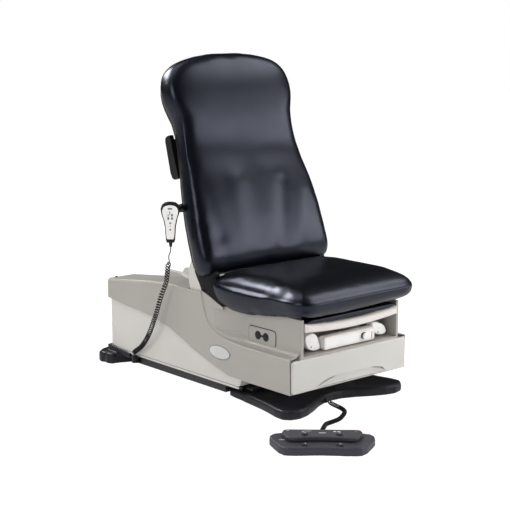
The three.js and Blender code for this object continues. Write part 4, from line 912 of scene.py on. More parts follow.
@dataclass
class Studio:
    """The camera of the photograph, a pale floor and plain soft light."""

    place: tuple[float, float, float] = (-3.4207, -3.5773, 1.4712)
    azimuth: float = -41.0
    elevation: float = 10.7
    focal_pixels: float = 1352.6
    frame_height: float = 512.0
    sensor: float = 36.0
    aim: tuple[float, float, float] = (0.0, 0.2, 0.5)
    plain_light: float = 0.4
    mirrored_behind: float = 0.03
    mirrored_before: float = 0.04
    mirrored_turn: tuple[float, float] = (-0.1, 0.6)
    floor_half: float = 14.0
    floor_grey: float = 0.86
    floor_roughness: float = 0.9
    floor_glow: float = 1.2
    floor_glow_share: float = 0.84
    floor_glow_mirrored: float = 0.3
    lamps: tuple[Lamp, ...] = (
        Lamp("key", (3.1, -3.3, 1.8), (4.4, 1.4), 88.0),
        Lamp("fill", (3.1, -3.3, 2.6), (4.4, 2.2), 50.0, mirrored=False),
        Lamp("side", (-4.2, -0.6, 2.4), (2.4, 1.8), 60.0),
        Lamp("top", (-0.7, 0.9, 3.4), (2.6, 2.6), 34.0),
        Lamp("rear", (-0.9, 2.7, 2.6), (1.7, 0.8), 34.0),
        Lamp("edge", (-1.0, 2.7, 2.6), (2.0, 1.0), 84.0, lighting=False),
        Lamp("front", (2.6, -0.9, 3.4), (1.8, 1.2), 30.0),
        Lamp("rim", (2.6, -0.9, 3.4), (2.0, 1.4), 44.0, lighting=False),
    )

    def build(self) -> None:
        """Makes the camera, the world, the floor and the lamps."""
        bpy.context.scene.view_settings.view_transform = "Standard"
        self.camera()
        self.world()
        self.floor()
        for lamp in self.lamps:
            lamp.build(self.aim)
        LOG.info("studio ready")

    def camera(self) -> None:
        """Places the camera at the photograph's viewing angle."""
        data = bpy.data.cameras.new("photo_camera")
        data.sensor_fit = "VERTICAL"
        data.sensor_height = self.sensor
        data.lens = self.focal_pixels * self.sensor / self.frame_height
        camera = linked("photo_camera", data)
        turn = Matrix.Rotation(math.radians(self.azimuth), 4, "Z")
        tilt = Matrix.Rotation(math.radians(90 - self.elevation), 4, "X")
        camera.matrix_world = Matrix.Translation(self.place) @ turn @ tilt
        bpy.context.scene.camera = camera

    def world(self) -> None:
        """A white background, with less light of it on the object."""
        world = bpy.data.worlds.new("studio")
        bpy.context.scene.world = world
        world.use_nodes = True
        graph = Graph(world.node_tree)
        path = graph.add("LightPath")
        seen = graph.maths("MAXIMUM", path.outputs["Is Camera Ray"], path.outputs["Is Transmission Ray"])
        where = graph.add("SeparateXYZ", {0: graph.add("TexCoord").outputs["Generated"]})
        strengths = (self.mirrored_before, self.mirrored_behind)
        mirrored = graph.spread(where.outputs["Y"], *self.mirrored_turn, *strengths)
        mirrored = graph.maths("SUBTRACT", mirrored, self.plain_light)
        mirrored = graph.maths("MULTIPLY", mirrored, path.outputs["Is Glossy Ray"])
        light = graph.maths("ADD", graph.maths("MULTIPLY", seen, 1.0 - self.plain_light), mirrored)
        light = graph.maths("ADD", light, self.plain_light)
        background = world.node_tree.nodes["Background"]
        background.inputs["Color"].default_value = (1.0, 1.0, 1.0, 1.0)
        world.node_tree.links.new(light, background.inputs["Strength"])

    def floor(self) -> None:
        """A pale floor that goes over into the background and keeps a soft shadow."""
        bm = bmesh.new()
        bmesh.ops.create_grid(bm, x_segments=1, y_segments=1, size=self.floor_half)
        floor = from_bmesh("studio_floor", bm)
        material = bpy.data.materials.new("studio_floor")
        material.use_nodes = True
        graph = Graph(material.node_tree)
        shader = material.node_tree.nodes["Principled BSDF"]
        shader.inputs["Base Color"].default_value = (*(self.floor_grey,) * 3, 1.0)
        shader.inputs["Roughness"].default_value = self.floor_roughness
        glow = graph.add("Emission", {"Color": (1.0, 1.0, 1.0, 1.0), "Strength": self.floor_glow})
        path = graph.add("LightPath")
        mirrored = graph.maths("MULTIPLY", path.outputs["Is Glossy Ray"], self.floor_glow_mirrored)
        seen = graph.maths("MAXIMUM", path.outputs["Is Camera Ray"], mirrored)
        share = graph.maths("MULTIPLY", seen, self.floor_glow_share)
        mix = graph.add("MixShader", {0: share, 1: shader.outputs[0], 2: glow.outputs[0]})
        output = material.node_tree.nodes["Material Output"]
        material.node_tree.links.new(mix.outputs[0], output.inputs["Surface"])
        floor.data.materials.append(material)


# Cords


@dataclass(frozen=True)
class CurlyCord:
    """The sizes of a cord's curls, in metres.

    Attributes:
        count: the curls.
        coil: the radius of the helix.
        strand: the radius of the cord itself.
        steps: points to a curl.
        opening: how much wider the curls stand at the start than on average.
    """

    count: int
    coil: float
    strand: float
    steps: int = 14
    opening: float = 1.0

    def along(self, route: Sequence[Vector]) -> list[Vector]:
        """The cord's own line: a helix round a route, drawn in to it at both ends.

        Args:
            route: close points of the route.

        Returns:
            The points of the helix.
        """
        at = self.spaced(route, self.count * self.steps + 1)
        line = [route[0]]
        out = Vector((1.0, 0.0, 0.0))
        total = len(at) - 1
        for index, middle in enumerate(at):
            ahead = (at[min(index + 1, total)] - at[max(index - 1, 0)]).normalized()
            out = (out - ahead * out.dot(ahead)).normalized()
            side = ahead.cross(out)
            reach = eased(min(1.0, index / self.steps, (total - index) / self.steps))
            angle = 2 * math.pi * index / self.steps
            line.append(middle + self.coil * reach * (out * math.cos(angle) + side * math.sin(angle)))
        line.append(route[-1])
        return line

    def spaced(self, route: Sequence[Vector], count: int) -> list[Vector]:
        """Evenly spaced points of a route, a little in from its ends.

        Args:
            route: close points of the route.
            count: how many points are made.

        Returns:
            The points.
        """
        points = np.array(route)
        steps = np.linalg.norm(np.diff(points, axis=0), axis=1)
        reach = np.concatenate([[0.0], np.cumsum(steps)])
        inset = 2 * self.strand
        shares = np.linspace(0.0, 1.0, count)
        shares = shares * (self.opening + (1 - self.opening) * shares)
        places = inset + (reach[-1] - 2 * inset) * shares
        return [Vector([np.interp(p, reach, points[:, axis]) for axis in range(3)]) for p in places]


def cord_length(line: Sequence[Vector]) -> float:
    """The length of a line of points."""
    return sum((b - a).length for a, b in zip(line, line[1:]))


def cord_tube(name: str, line: Sequence[Vector], radius: float) -> Piece:
    """A round tube along a line, as a mesh.

    Args:
        name: the tube's name.
        line: close points along its middle.
        radius: its radius, in metres.

    Returns:
        The tube.
    """
    curve = bpy.data.curves.new(name, "CURVE")
    curve.dimensions = "3D"
    curve.bevel_depth = radius
    curve.bevel_resolution = 2
    curve.use_fill_caps = True
    spline = curve.splines.new("POLY")
    spline.points.add(len(line) - 1)
    for point, place in zip(spline.points, line):
        point.co = (*place, 1.0)
    shaped = linked(f"{name}_line", curve)
    graph = bpy.context.evaluated_depsgraph_get()
    mesh = bpy.data.meshes.new_from_object(shaped.evaluated_get(graph))
    bpy.data.objects.remove(shaped)
    piece = linked(name, mesh)
    piece.data.shade_smooth()
    return piece


@dataclass
class Cords:
    """The handset's curly cord and the foot control's, along the routes of the CAD solids."""

    handset: CurlyCord = CurlyCord(count=54, coil=8.2 * MM, strand=2.0 * MM, opening=1.42)
    foot: CurlyCord = CurlyCord(count=50, coil=6.4 * MM, strand=2.2 * MM)
    lift_height: float = 0.25
    back_height: float = 0.4
    route_steps: int = 24
    lead_thinned: int = 6
    lead_mm = (
        (-378, 406, 560.5),
        (-378, 406, 554),
        (-376, 412, 540),
        (-374, 424, 520),
        (-374, 420, 500),
    )
    handset_mm = (
        (-374, 420, 500),
        (-364, 444, 477),
        (-345, 481, 410),
        (-344, 516, 348),
        (-342, 560, 255),
        (-335, 610, 178),
        (-322, 675, 116),
        (-310, 741, 76.7),
        (-309, 746, 67.5),
        (-309, 746, 62.3),
    )
    foot_mm = (
        (-66, -124.55, 17),
        (-66, -131.25, 17),
        (-63, -142, 13),
        (-65, -165, 11),
        (-71, -207, 9),
        (-92, -242, 8),
        (-155, -283, 8),
        (-203, -294, 8),
        (-242, -303, 10),
        (-290, -338, 15),
        (-331.2, -371.4, 17),
        (-335.7, -376.4, 17),
    )

    def build(self) -> None:
        """Makes both cords."""
        self.handset_cord()
        self.foot_cord()

    def route(self, points_mm: Sequence[Point]) -> list[Vector]:
        """Points in millimetres as a smooth route in metres."""
        return catmull([Vector(p) * MM for p in points_mm], self.route_steps)

    def handset_cord(self) -> None:
        """The curly cord, in three pieces split at two heights, where it passes from one body to the
        next.
        """
        lead = self.route(self.lead_mm)[: -1 : self.lead_thinned]
        line = lead + self.handset.along(self.route(self.handset_mm))
        line.reverse()
        first = next(i for i, p in enumerate(line) if p.z > self.lift_height)
        second = next(i for i, p in enumerate(line) if p.z > self.back_height)
        spans = (
            ("handset_cord_low", line[: first + 1], "base", "lift"),
            ("handset_cord_middle", line[first : second + 1], "lift", "backrest"),
            ("handset_cord_high", line[second:], "backrest", "handset"),
        )
        for name, part, low_body, high_body in spans:
            piece = cord_tube(name, part, self.handset.strand)
            piece.data.materials.append(CORD_BLACK.material())
            tuple(part[0])
            tuple(part[-1])
            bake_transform(piece)
            tuple(part[0])
            cord_length(part)
            [tuple(p) for p in part]
            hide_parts("handset_cord")
            LOG.info("made %s", name)

    def foot_cord(self) -> None:
        """The foot control's cord, which lies on the floor."""
        line = self.foot.along(self.route(self.foot_mm))
        piece = cord_tube("foot_cord_curls", line, self.foot.strand)
        dressed(piece, CORD_BLACK, "base", "foot_cord")
        tuple(line[0])
        cord_length(line)
        [tuple(p) for p in line]


# Upholstery


@dataclass(frozen=True)
class Fold:
    """A soft hollow or ridge in a cushion's face.

    Attributes:
        start: one end, across and along the face, in metres.
        end: the other end.
        width: its half width.
        depth: how deep it is, below 0 for a ridge.
    """

    start: tuple[float, float]
    end: tuple[float, float]
    width: float
    depth: float

    def at(self, across: np.ndarray, along: np.ndarray) -> np.ndarray:
        """Its depth at each point of a face.

        Args:
            across: the places of the points across the face.
            along: their places along it.

        Returns:
            The depths, in metres.
        """
        a, b = np.array(self.start), np.array(self.end)
        line = b - a
        share = ((across - a[0]) * line[0] + (along - a[1]) * line[1]) / float(line @ line)
        held = np.clip(share, 0.0, 1.0)
        gap = np.hypot(across - a[0] - held * line[0], along - a[1] - held * line[1])
        return self.depth * np.exp(-((gap / self.width) ** 2))


@dataclass
class Cushion:
    """One upholstered piece, swollen by a short cloth simulation.

    Attributes:
        node: the CAD solid that it stands for.
        name: the piece's name.
        body: the body that it rides on.
        voxel: the size of the mesh that is simulated.
        pressure: the pressure in it.
        cap: how far a point may move.
        lean: the turn of the piece about X, in degrees, taken out while it is made.
        folds: the hollows in its face.
        sag: how far the skirt hangs down at turns round the middle, from the front, in degrees.
        deeper: how far the rear half reaches behind the CAD solid.
        droop: how far the top falls away at its rim.
        shoulder: how far in from the rim it starts to fall.
        shoulder_over: the height over which the fall comes in above the skirt.
        skirt_top: the height above which nothing hangs.
        skirt_over: the height over which the hanging comes in below that.
        skirt_inner: how far out the skirt starts, as a share of the half width.
        skirt_rim: the share of the half width over which it comes in.
        facing: how far a face looks out where folds come in, and over what they reach their depth.
        frames: the simulated frames.
        fill: how much of the piece its padding fills; not used.
        passes: the times that the mesh is smoothed before the simulation.
        settled: the times that it is smoothed after it.
    """

    node: str
    name: str
    body: str
    voxel: float
    pressure: float = 3.0
    cap: float = 6 * MM
    lean: float = 0.0
    folds: tuple[Fold, ...] = ()
    sag: tuple[tuple[float, float], ...] = ()
    deeper: float = 0.0
    droop: float = 0.0
    shoulder: float = 130 * MM
    shoulder_over: float = 30 * MM
    skirt_top: float = 0.42
    skirt_over: float = 45 * MM
    skirt_inner: float = 0.84
    skirt_rim: float = 0.04
    facing: tuple[float, float] = (0.2, 0.5)
    frames: int = 16
    fill: float = 0.85
    passes: int = 10
    settled: int = 12

    def build(self) -> Piece:
        """Makes the cushion.

        Returns:
            The finished piece.
        """
        piece = welded(self.node, self.name)
        turn = Matrix.Rotation(math.radians(self.lean), 4, "X")
        piece.data.transform(turn)
        cut = self.points(piece)
        evened(piece, self.voxel, self.passes)
        self.swell(piece)
        self.fit(piece, cut.min(axis=0), cut.max(axis=0))
        self.press_folds(piece)
        self.round_shoulders(piece)
        self.hang_skirt(piece)
        piece.data.transform(turn.inverted())
        piece.data.shade_smooth()
        skin = piece.modifiers.new("skin", "SUBSURF")
        skin.levels = skin.render_levels = 1
        dressed(piece, VINYL, self.body, self.node)
        return piece

    def swell(self, piece: Piece) -> None:
        """Runs cloth under pressure, and keeps each point's move under the cap.

        Args:
            piece: the cushion's mesh, changed in place.
        """
        before = self.points(piece)
        cloth = piece.modifiers.new("cloth", "CLOTH")
        cloth.settings.quality = 4
        cloth.settings.use_pressure = True
        cloth.settings.uniform_pressure_force = self.pressure
        cloth.settings.effector_weights.gravity = 0.0
        cloth.settings.tension_stiffness = 20.0
        cloth.settings.bending_stiffness = 2.0
        cloth.point_cache.frame_start = 1
        cloth.point_cache.frame_end = self.frames
        for step in range(1, self.frames + 1):
            bpy.context.scene.frame_set(step)
        apply_modifiers(piece)
        bpy.context.scene.frame_set(1)
        moved = self.points(piece) - before
        reach = np.linalg.norm(moved, axis=1, keepdims=True)
        held = moved * np.minimum(1.0, self.cap / np.maximum(reach, 1e-9))
        self.set_points(piece, before + held)
        bm = bmesh.new()
        bm.from_mesh(piece.data)
        axes = {"use_axis_x": True, "use_axis_y": True, "use_axis_z": True}
        for _ in range(self.settled):
            bmesh.ops.smooth_vert(bm, verts=bm.verts, factor=0.5, **axes)
        bm.to_mesh(piece.data)
        bm.free()

    def fit(self, piece: Piece, low: np.ndarray, high: np.ndarray) -> None:
        """Stretches the piece to a box, and its rear half further back.

        Args:
            piece: the cushion's mesh, changed in place.
            low: the box's lowest corner.
            high: its highest corner.
        """
        points = self.points(piece)
        start, end = points.min(axis=0), points.max(axis=0)
        share = (points - start) / (end - start)
        points = low + share * (high - low)
        points[:, 1] += self.deeper * np.clip(2 * share[:, 1] - 1, 0.0, 1.0)
        self.set_points(piece, points)

    def press_folds(self, piece: Piece) -> None:
        """Presses the folds in the face that looks up, or forwards on a back.

        Args:
            piece: the cushion's mesh, changed in place.
        """
        if not self.folds:
            return
        points = self.points(piece)
        piece.data.update()
        normals = np.array([v.normal for v in piece.data.vertices])
        across, along, out = self.face_axes()
        start, reach = self.facing
        facing = np.clip((normals[:, abs(out) - 1] * np.sign(out) - start) / reach, 0.0, 1.0)
        depth = sum(fold.at(points[:, across], points[:, along]) for fold in self.folds)
        points[:, abs(out) - 1] -= np.sign(out) * facing * depth
        self.set_points(piece, points)

    def round_shoulders(self, piece: Piece) -> None:
        """Lets the top fall away towards the front and both sides.

        Args:
            piece: the cushion's mesh, changed in place.
        """
        if not self.droop:
            return
        points = self.points(piece)
        low, high = points.min(axis=0), points.max(axis=0)
        beside = np.minimum(high[0] - points[:, 0], points[:, 0] - low[0])
        inside = np.minimum(points[:, 1] - low[1], beside)
        corner = np.hypot(beside, high[1] - points[:, 1])
        near = np.clip(1 - np.minimum(inside, corner) / self.shoulder, 0.0, 1.0)
        above = np.clip((points[:, 2] - self.skirt_top) / self.shoulder_over, 0.0, 1.0)
        points[:, 2] -= self.droop * above * near * near
        self.set_points(piece, points)

    def hang_skirt(self, piece: Piece) -> None:
        """Lets the lower edge hang down by the sag, which goes by the turn round the middle.

        Args:
            piece: the cushion's mesh, changed in place.
        """
        if not self.sag:
            return
        points = self.points(piece)
        low, high = points.min(axis=0), points.max(axis=0)
        middle, half = (low + high) / 2, (high - low) / 2
        u, v = ((points[:, :2] - middle[:2]) / half[:2]).T
        turns, drops = zip(*self.sag)
        drop = np.interp(np.degrees(np.arctan2(u, -v)), turns, drops)
        under = np.clip((self.skirt_top - points[:, 2]) / self.skirt_over, 0.0, 1.0)
        out = np.maximum(np.abs(u), np.abs(v))
        rim = np.clip((out - self.skirt_inner) / self.skirt_rim, 0.0, 1.0)
        points[:, 2] -= drop * under * rim
        self.set_points(piece, points)

    def face_axes(self) -> tuple[int, int, int]:
        """The axes across and along the face, and the signed number of the one out of it."""
        return (0, 2, -2) if self.lean else (0, 1, 3)

    @staticmethod
    def points(piece: Piece) -> np.ndarray:
        """The vertices of a piece as an array."""
        values = np.zeros(3 * len(piece.data.vertices))
        piece.data.vertices.foreach_get("co", values)
        return values.reshape(-1, 3)

    @staticmethod
    def set_points(piece: Piece, points: np.ndarray) -> None:
        """Puts an array back in the vertices of a piece."""
        piece.data.vertices.foreach_set("co", points.ravel())
        piece.data.update()


@dataclass
class Upholstery:
    """The seat, the back and the leg extension's pad, with the black boots at the hinge."""

    lean: float = 18.5
    boot_edge: float = 1.2 * MM
    boot_span: tuple[float, float] = (262.0 * MM, 283.8 * MM)
    flap_span: tuple[float, float] = (284.2 * MM, 286.8 * MM)
    boot_outline = (
        (0.262, 0.470),
        (0.259, 0.440),
        (0.268, 0.412),
        (0.288, 0.395),
        (0.336, 0.389),
        (0.352, 0.412),
        (0.380, 0.456),
        (0.370, 0.476),
        (0.300, 0.482),
    )
    flap_outline = (
        (0.190, 0.368),
        (0.208, 0.351),
        (0.236, 0.353),
        (0.269, 0.370),
        (0.312, 0.385),
        (0.304, 0.404),
        (0.286, 0.428),
        (0.268, 0.448),
        (0.225, 0.440),
        (0.190, 0.410),
    )

    def build(self) -> None:
        """Makes the three cushions and the boots."""
        drops = (0, 4, 10, 12, 13, 15, 15, 14, 11, 8, 6, 5, 3, 0)
        turns = (-180, -145, -130, -112, -92, -72, -45, -20, 5, 25, 45, 80, 130, 180)
        Cushion(
            "seat_cushion",
            "seat_upholstery",
            "lift",
            7 * MM,
            folds=self.seat_folds(),
            sag=tuple((turn, drop * MM) for turn, drop in zip(turns, drops)),
            passes=30,
            droop=17 * MM,
        ).build()
        Cushion(
            "back_cushion",
            "back_upholstery",
            "backrest",
            8 * MM,
            lean=self.lean,
            folds=self.back_folds(),
            passes=14,
            deeper=16 * MM,
        ).build()
        Cushion("extension_pad", "extension_upholstery", "extension", 6 * MM, cap=2 * MM).build()
        for name, side in SIDES:
            view = side_view(side)
            for piece, outline, span, body in (
                (f"back_boot_{name}", self.boot_outline, self.boot_span, "backrest"),
                (f"seat_flap_{name}", self.flap_outline, self.flap_span, "lift"),
            ):
                corners = catmull([(y, z, 0.0) for y, z in outline], 4, closed=True)
                plate(piece, [[p.xy for p in corners]], span, self.boot_edge, view, RUBBER, body)

    def seat_folds(self) -> tuple[Fold, ...]:
        """The soft hollow of the seat and the wrinkles at its rear corners.

        Returns:
            The folds, in the seat as it lies.
        """
        folds = [Fold((0.0, -0.02), (0.0, 0.10), 0.13, 4 * MM)]
        for _, side in SIDES:
            folds.append(Fold((side * 0.24, 0.20), (side * 0.15, 0.13), 0.022, 1.6 * MM))
            folds.append(Fold((side * 0.20, 0.22), (side * 0.10, 0.18), 0.020, 1.2 * MM))
        return tuple(folds)

    def back_folds(self) -> tuple[Fold, ...]:
        """The hollow at the neck and the long soft wrinkles that fan out below it.

        Returns:
            The folds, in the back stood upright.
        """
        folds = [
            Fold((-0.26, 1.01), (0.26, 0.985), 0.09, 10 * MM),
            Fold((-0.2, 1.27), (0.2, 1.27), 0.13, -9 * MM),
            Fold((-0.262, 0.86), (-0.235, 0.66), 0.034, 3.0 * MM),
            Fold((-0.235, 0.66), (-0.21, 0.46), 0.032, 2.6 * MM),
            Fold((0.13, 0.84), (0.03, 0.50), 0.034, 3.6 * MM),
            Fold((0.225, 0.80), (0.11, 0.48), 0.040, -3.4 * MM),
            Fold((-0.01, 0.90), (-0.07, 0.52), 0.05, 1.4 * MM),
            Fold((-0.10, 0.86), (-0.145, 0.50), 0.045, -2.4 * MM),
        ]
        return tuple(folds)


# Moulded covers


@dataclass
class Shrouds:
    """The two moulded shells of the base, with the soft ledge over the outlets and the thin lips."""

    outer: float = 297.0 * MM
    wall: float = 252.0 * MM
    waist: float = 291.0 * MM
    flare: tuple[float, float] = (0.118, 0.25)
    proud: float = 0.5 * MM
    sunk: float = 1.2 * MM
    inner_sunk: float = 1.44 * MM
    border: float = 0.07
    least_cove: float = 0.25
    lowered: float = 11.0 * MM
    rising_from: float = 0.25
    held_to: float = 0.9
    fading: float = 0.1
    crease_held: float = 16 * MM
    crease_fading: float = 20 * MM
    deck_edge_from: tuple[float, float, float] = (0.289, 0.335, 0.325)
    corner_behind: float = -0.17
    ear_span: tuple[float, float] = (286.6 * MM, 291.2 * MM)
    cad_line = (
        (-0.172, 0.228),
        (0.135, 0.228),
        (0.190, 0.240),
        (0.234, 0.258),
        (0.266, 0.272),
        (0.290, 0.305),
        (0.307, 0.342),
        (0.330, 0.388),
    )
    ledge_line = (
        (-0.1722, 0.2225),
        (-0.08, 0.222),
        (0.02, 0.222),
        (0.095, 0.223),
        (0.150, 0.226),
        (0.195, 0.233),
        (0.240, 0.247),
        (0.270, 0.264),
        (0.293, 0.287),
        (0.309, 0.317),
        (0.320, 0.348),
        (0.3285, 0.3875),
    )
    cove_rows = (
        (0.0, -0.046),
        (0.0, -0.038),
        (0.0, -0.020),
        (0.005, -0.0115),
        (0.022, -0.0055),
        (0.055, -0.0018),
        (0.12, 0.0),
        (0.3, 0.0007),
        (0.5, 0.0018),
        (0.66, 0.0035),
        (0.80, 0.0065),
        (0.90, 0.0105),
        (0.965, 0.0150),
        (0.995, 0.0200),
        (1.0, 0.0260),
        (1.0, 0.0320),
    )
    ear_outline = (
        (0.205, 0.338),
        (0.205, 0.3465),
        (0.235, 0.357),
        (0.269, 0.3705),
        (0.300, 0.382),
        (0.325, 0.3885),
        (0.338, 0.3885),
        (0.338, 0.338),
    )

    def build(self) -> None:
        """Makes the shells, the ledges, the ears and the lips."""
        self.upper()
        refined("lower_shroud", PALE_SHROUD, 1.5 * MM)
        for node in ("hinge_cover_left", "hinge_cover_right", "back_drive_cover"):
            refined(node, PALE_SHROUD, 3.0 * MM)
        for name, side in SIDES:
            self.ledge(name, side)
            view = side_view(side)
            plate(f"shroud_ear_{name}", [self.ear_outline], self.ear_span, 1.0 * MM, view, SHROUD, "lift")
            self.lip(name, view)

    def upper(self) -> Piece:
        """The upper shell, with its ledge lowered under the soft one and broad round edges.

        Returns:
            The finished piece.
        """
        piece = welded("upper_shroud", "upper_shroud_finished")
        places, moves = self.crease_moves()
        for vertex in piece.data.vertices:
            x, y, z = vertex.co
            if abs(x) < self.wall - 1 * MM:
                continue
            gaps = [math.hypot(y - a, z - b) for a, b in places]
            nearest = min(range(len(gaps)), key=gaps.__getitem__)
            share = 1 - eased((gaps[nearest] - self.crease_held) / self.crease_fading)
            vertex.co.y += share * moves[nearest][0]
            vertex.co.z += share * moves[nearest][1]
        soften(piece, self.on_deck_edge, 7 * MM, 4)
        soften(piece, self.on_front_corner, 5 * MM, 4)
        rounded(piece, 1.2 * MM)
        return dressed(piece, SHROUD, "lift", "upper_shroud")

    def crease_moves(self) -> tuple[list[tuple[float, float]], list[tuple[float, float]]]:
        """Close points of the shell's own ledge line, and how far each one moves.

        Returns:
            The points and their moves, y and z in metres.
        """
        old = catmull([(y, z, 0.0) for y, z in self.cad_line], 12)
        new = catmull([(y, z, 0.0) for y, z in self.ledge_line], 12)
        places, moves = [], []
        for index, point in enumerate(old):
            target = min(new, key=lambda p: (p - point).length)
            goal_y = target.x if point.y > self.rising_from else point.x
            goal_z = target.y if point.y > self.rising_from else self.height_at(new, point.x)
            fade = 1 - eased((index / (len(old) - 1) - self.held_to) / self.fading)
            down = Vector((goal_y - point.x, goal_z - self.lowered - point.y))
            places.append((point.x, point.y))
            moves.append((down.x * fade, down.y * fade))
        return places, moves

    @staticmethod
    def height_at(line: Sequence[Vector], place: float) -> float:
        """The height of a line at a place along Y."""
        return float(np.interp(place, [p.x for p in line], [p.y for p in line]))

    def on_deck_edge(self, a: Vector, b: Vector) -> bool:
        """Whether an edge is the long outer edge of the deck."""
        along = abs(b.y - a.y) > 3 * abs(b.z - a.z)
        out, back, up = self.deck_edge_from
        return along and all(abs(p.x) > out and p.z > up and p.y > back for p in (a, b))

    def on_front_corner(self, a: Vector, b: Vector) -> bool:
        """Whether an edge is an upright front corner beside the bay."""
        upright = abs(b.z - a.z) > 30 * MM and abs(b.x - a.x) < 1 * MM
        front = all(p.y < self.corner_behind for p in (a, b))
        return upright and front and all(abs(abs(p.x) - self.wall) < 2 * MM for p in (a, b))

    def wall_at(self, place: float) -> float:
        """The half width of the upper, narrower part at a place along Y."""
        return float(np.interp(place, self.flare, (self.wall, self.waist)))

    def ledge(self, name: str, side: int) -> Piece:
        """The soft ledge, from the side panel over a round edge and up the recessed wall.

        Args:
            name: left or right.
            side: -1 for the left, 1 for the right.

        Returns:
            The finished piece.
        """
        line = catmull([(y, z, 0.0) for y, z in self.ledge_line], 8)
        last = len(line) - 1
        shares, rises = zip(*self.cove_rows)
        stretch = np.linspace(0.0, 1.0, len(shares))

        def at(across: float, along: float) -> Vector:
            """The place of one point of the ledge.

            Args:
                across: its share from the outside in.
                along: its share from the front to the rear.

            Returns:
                Its place, in metres.
            """
            index = round(along * last)
            middle = line[index]
            ahead = (line[min(index + 1, last)] - line[max(index - 1, 0)]).normalized()
            width = self.outer - self.wall_at(middle.x)
            share = float(np.interp(across, stretch, shares))
            tall = min(1.0, self.least_cove + width / (self.outer - self.wall))
            rise = float(np.interp(across, stretch, rises))
            rise *= tall if rise > 0 else 1.0
            near = max(0.0, 1 - across / self.border, 1 - (1 - across) / self.border)
            x = self.outer + self.proud - share * width
            x -= near * (self.sunk if across < 0.5 else self.inner_sunk)
            return Vector((side * x, middle.x - ahead.y * rise, middle.y + ahead.x * rise))

        piece = sheet(f"ledge_{name}", 45, last, at, 1.2 * MM, (side, 0.0, 1.0))
        return dressed(piece, SHROUD, "lift")

    def lip(self, name: str, view: Matrix) -> None:
        """The thin lip along the lower shell's foot, with a dark strip above it as painted shade of the
        fine groove.

        Args:
            name: left or right.
            view: the view of that side.
        """
        low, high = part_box("lower_shroud")
        face, foot = high[0], low[2]
        front, rear = low[1] + 20 * MM, high[1] - 14 * MM
        middle, length = (front + rear) / 2, rear - front
        lip = moved(round_rect(length, 7 * MM, 3 * MM), middle, foot + 3.6 * MM)
        span = (face - 4 * MM, face + 1.6 * MM)
        plate(f"lower_lip_{name}", [lip], span, 1.2 * MM, view, PALE_SHROUD, "base")
        # The groove is a dark strip a little proud of the face: painted shade, not a cut
        groove = moved(round_rect(length, 1.4 * MM, 0.5 * MM), middle, foot + 9.2 * MM)
        span = (face - 3 * MM, face + 0.25 * MM)
        plate(f"lower_groove_shade_{name}", [groove], span, 0.0, view, SEAM_AND_GAP_SHADE, "base")


@dataclass
class SideFittings:
    """The outlet plate with its two sockets and the bare oval badge, on the left side."""

    plate_front: float = 252.0 * MM
    pitch: float = 43.0 * MM
    view = side_view(-1)
    # The dark marks of painted shade for a socket's slots: shift across, shift up, width and height
    slots = (
        (-6 * MM, 3 * MM, 2.4 * MM, 8 * MM),
        (6 * MM, 3 * MM, 2.4 * MM, 7 * MM),
        (0.0, -7 * MM, 4.6 * MM, 4.6 * MM),
    )

    def build(self) -> None:
        """Makes the fittings."""
        self.outlet()
        self.badge()

    def outlet(self) -> None:
        """The outlet plate with a dark joint round it, a bridge and its two sockets."""
        (_, y, z), (_, length, height) = box_of("outlet_plate")
        inner, outer = self.plate_front, self.plate_front + 3 * MM
        joint = moved(round_rect(length + 5 * MM, height + 5 * MM, 15 * MM), y, z)
        span = (inner - 1 * MM, inner + 1.2 * MM)
        plate("outlet_joint", [joint], span, 0.3 * MM, self.view, SEAM_AND_GAP_SHADE, "lift")
        face = moved(round_rect(length, height, 13 * MM), y, z)
        span = (inner, outer)
        plate("outlet_face", [face], span, 1.4 * MM, self.view, SHROUD, "lift", "outlet_plate")
        bridge = moved(round_rect(16 * MM, 8 * MM, 2 * MM), y, z)
        span = (outer - 1 * MM, outer + 0.6 * MM)
        plate("outlet_bridge", [bridge], span, 0.2 * MM, self.view, BLACK, "lift")
        for name, shift in (("front", -self.pitch / 2), ("rear", self.pitch / 2)):
            self.socket(name, y + shift, z, outer)

    def socket(self, name: str, y: float, z: float, outer: float) -> None:
        """One round socket: a black insert with three slots drawn on it as flat dark marks of painted
        shade.

        Args:
            name: front or rear.
            y: the place of its middle along Y, in metres.
            z: the height of its middle.
            outer: how far out the plate's face is.
        """
        node = f"outlet_socket_{name}"
        disc = moved(oval(16 * MM, 16 * MM, 40), y, z)
        span = (outer - 1 * MM, outer + 1.6 * MM)
        plate(f"socket_{name}", [disc], span, 0.8 * MM, self.view, BLACK, "lift", node)
        # Flat dark marks a little proud of the insert: painted shade of the slot holes
        slots = [moved(round_rect(w, h, 0.8 * MM), y + dy, z + dz) for dy, dz, w, h in self.slots]
        span = (outer + 1 * MM, outer + 1.75 * MM)
        plate(f"socket_{name}_slots", slots, span, 0.0, self.view, SLOT_SHADE, "lift")

    def badge(self) -> None:
        """The oval badge: a white plate in a fine grey rim, with nothing on it."""
        (_, y, z), (_, length, height) = box_of("badge")
        half, tall = length / 2, height / 2
        face = -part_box("badge")[1][0]
        rim = moved(oval(half, tall, 64), y, z)
        span = (face - 0.5 * MM, face + 1.6 * MM)
        plate("badge_rim", [rim], span, 0.7 * MM, self.view, MARK_GREY, "lift", "badge")
        inside = moved(oval(half - 4.5 * MM, tall - 4.5 * MM, 64), y, z)
        span = (face, face + 2.4 * MM)
        plate("badge_face", [inside], span, 0.8 * MM, self.view, SIGN_PLATE, "lift")


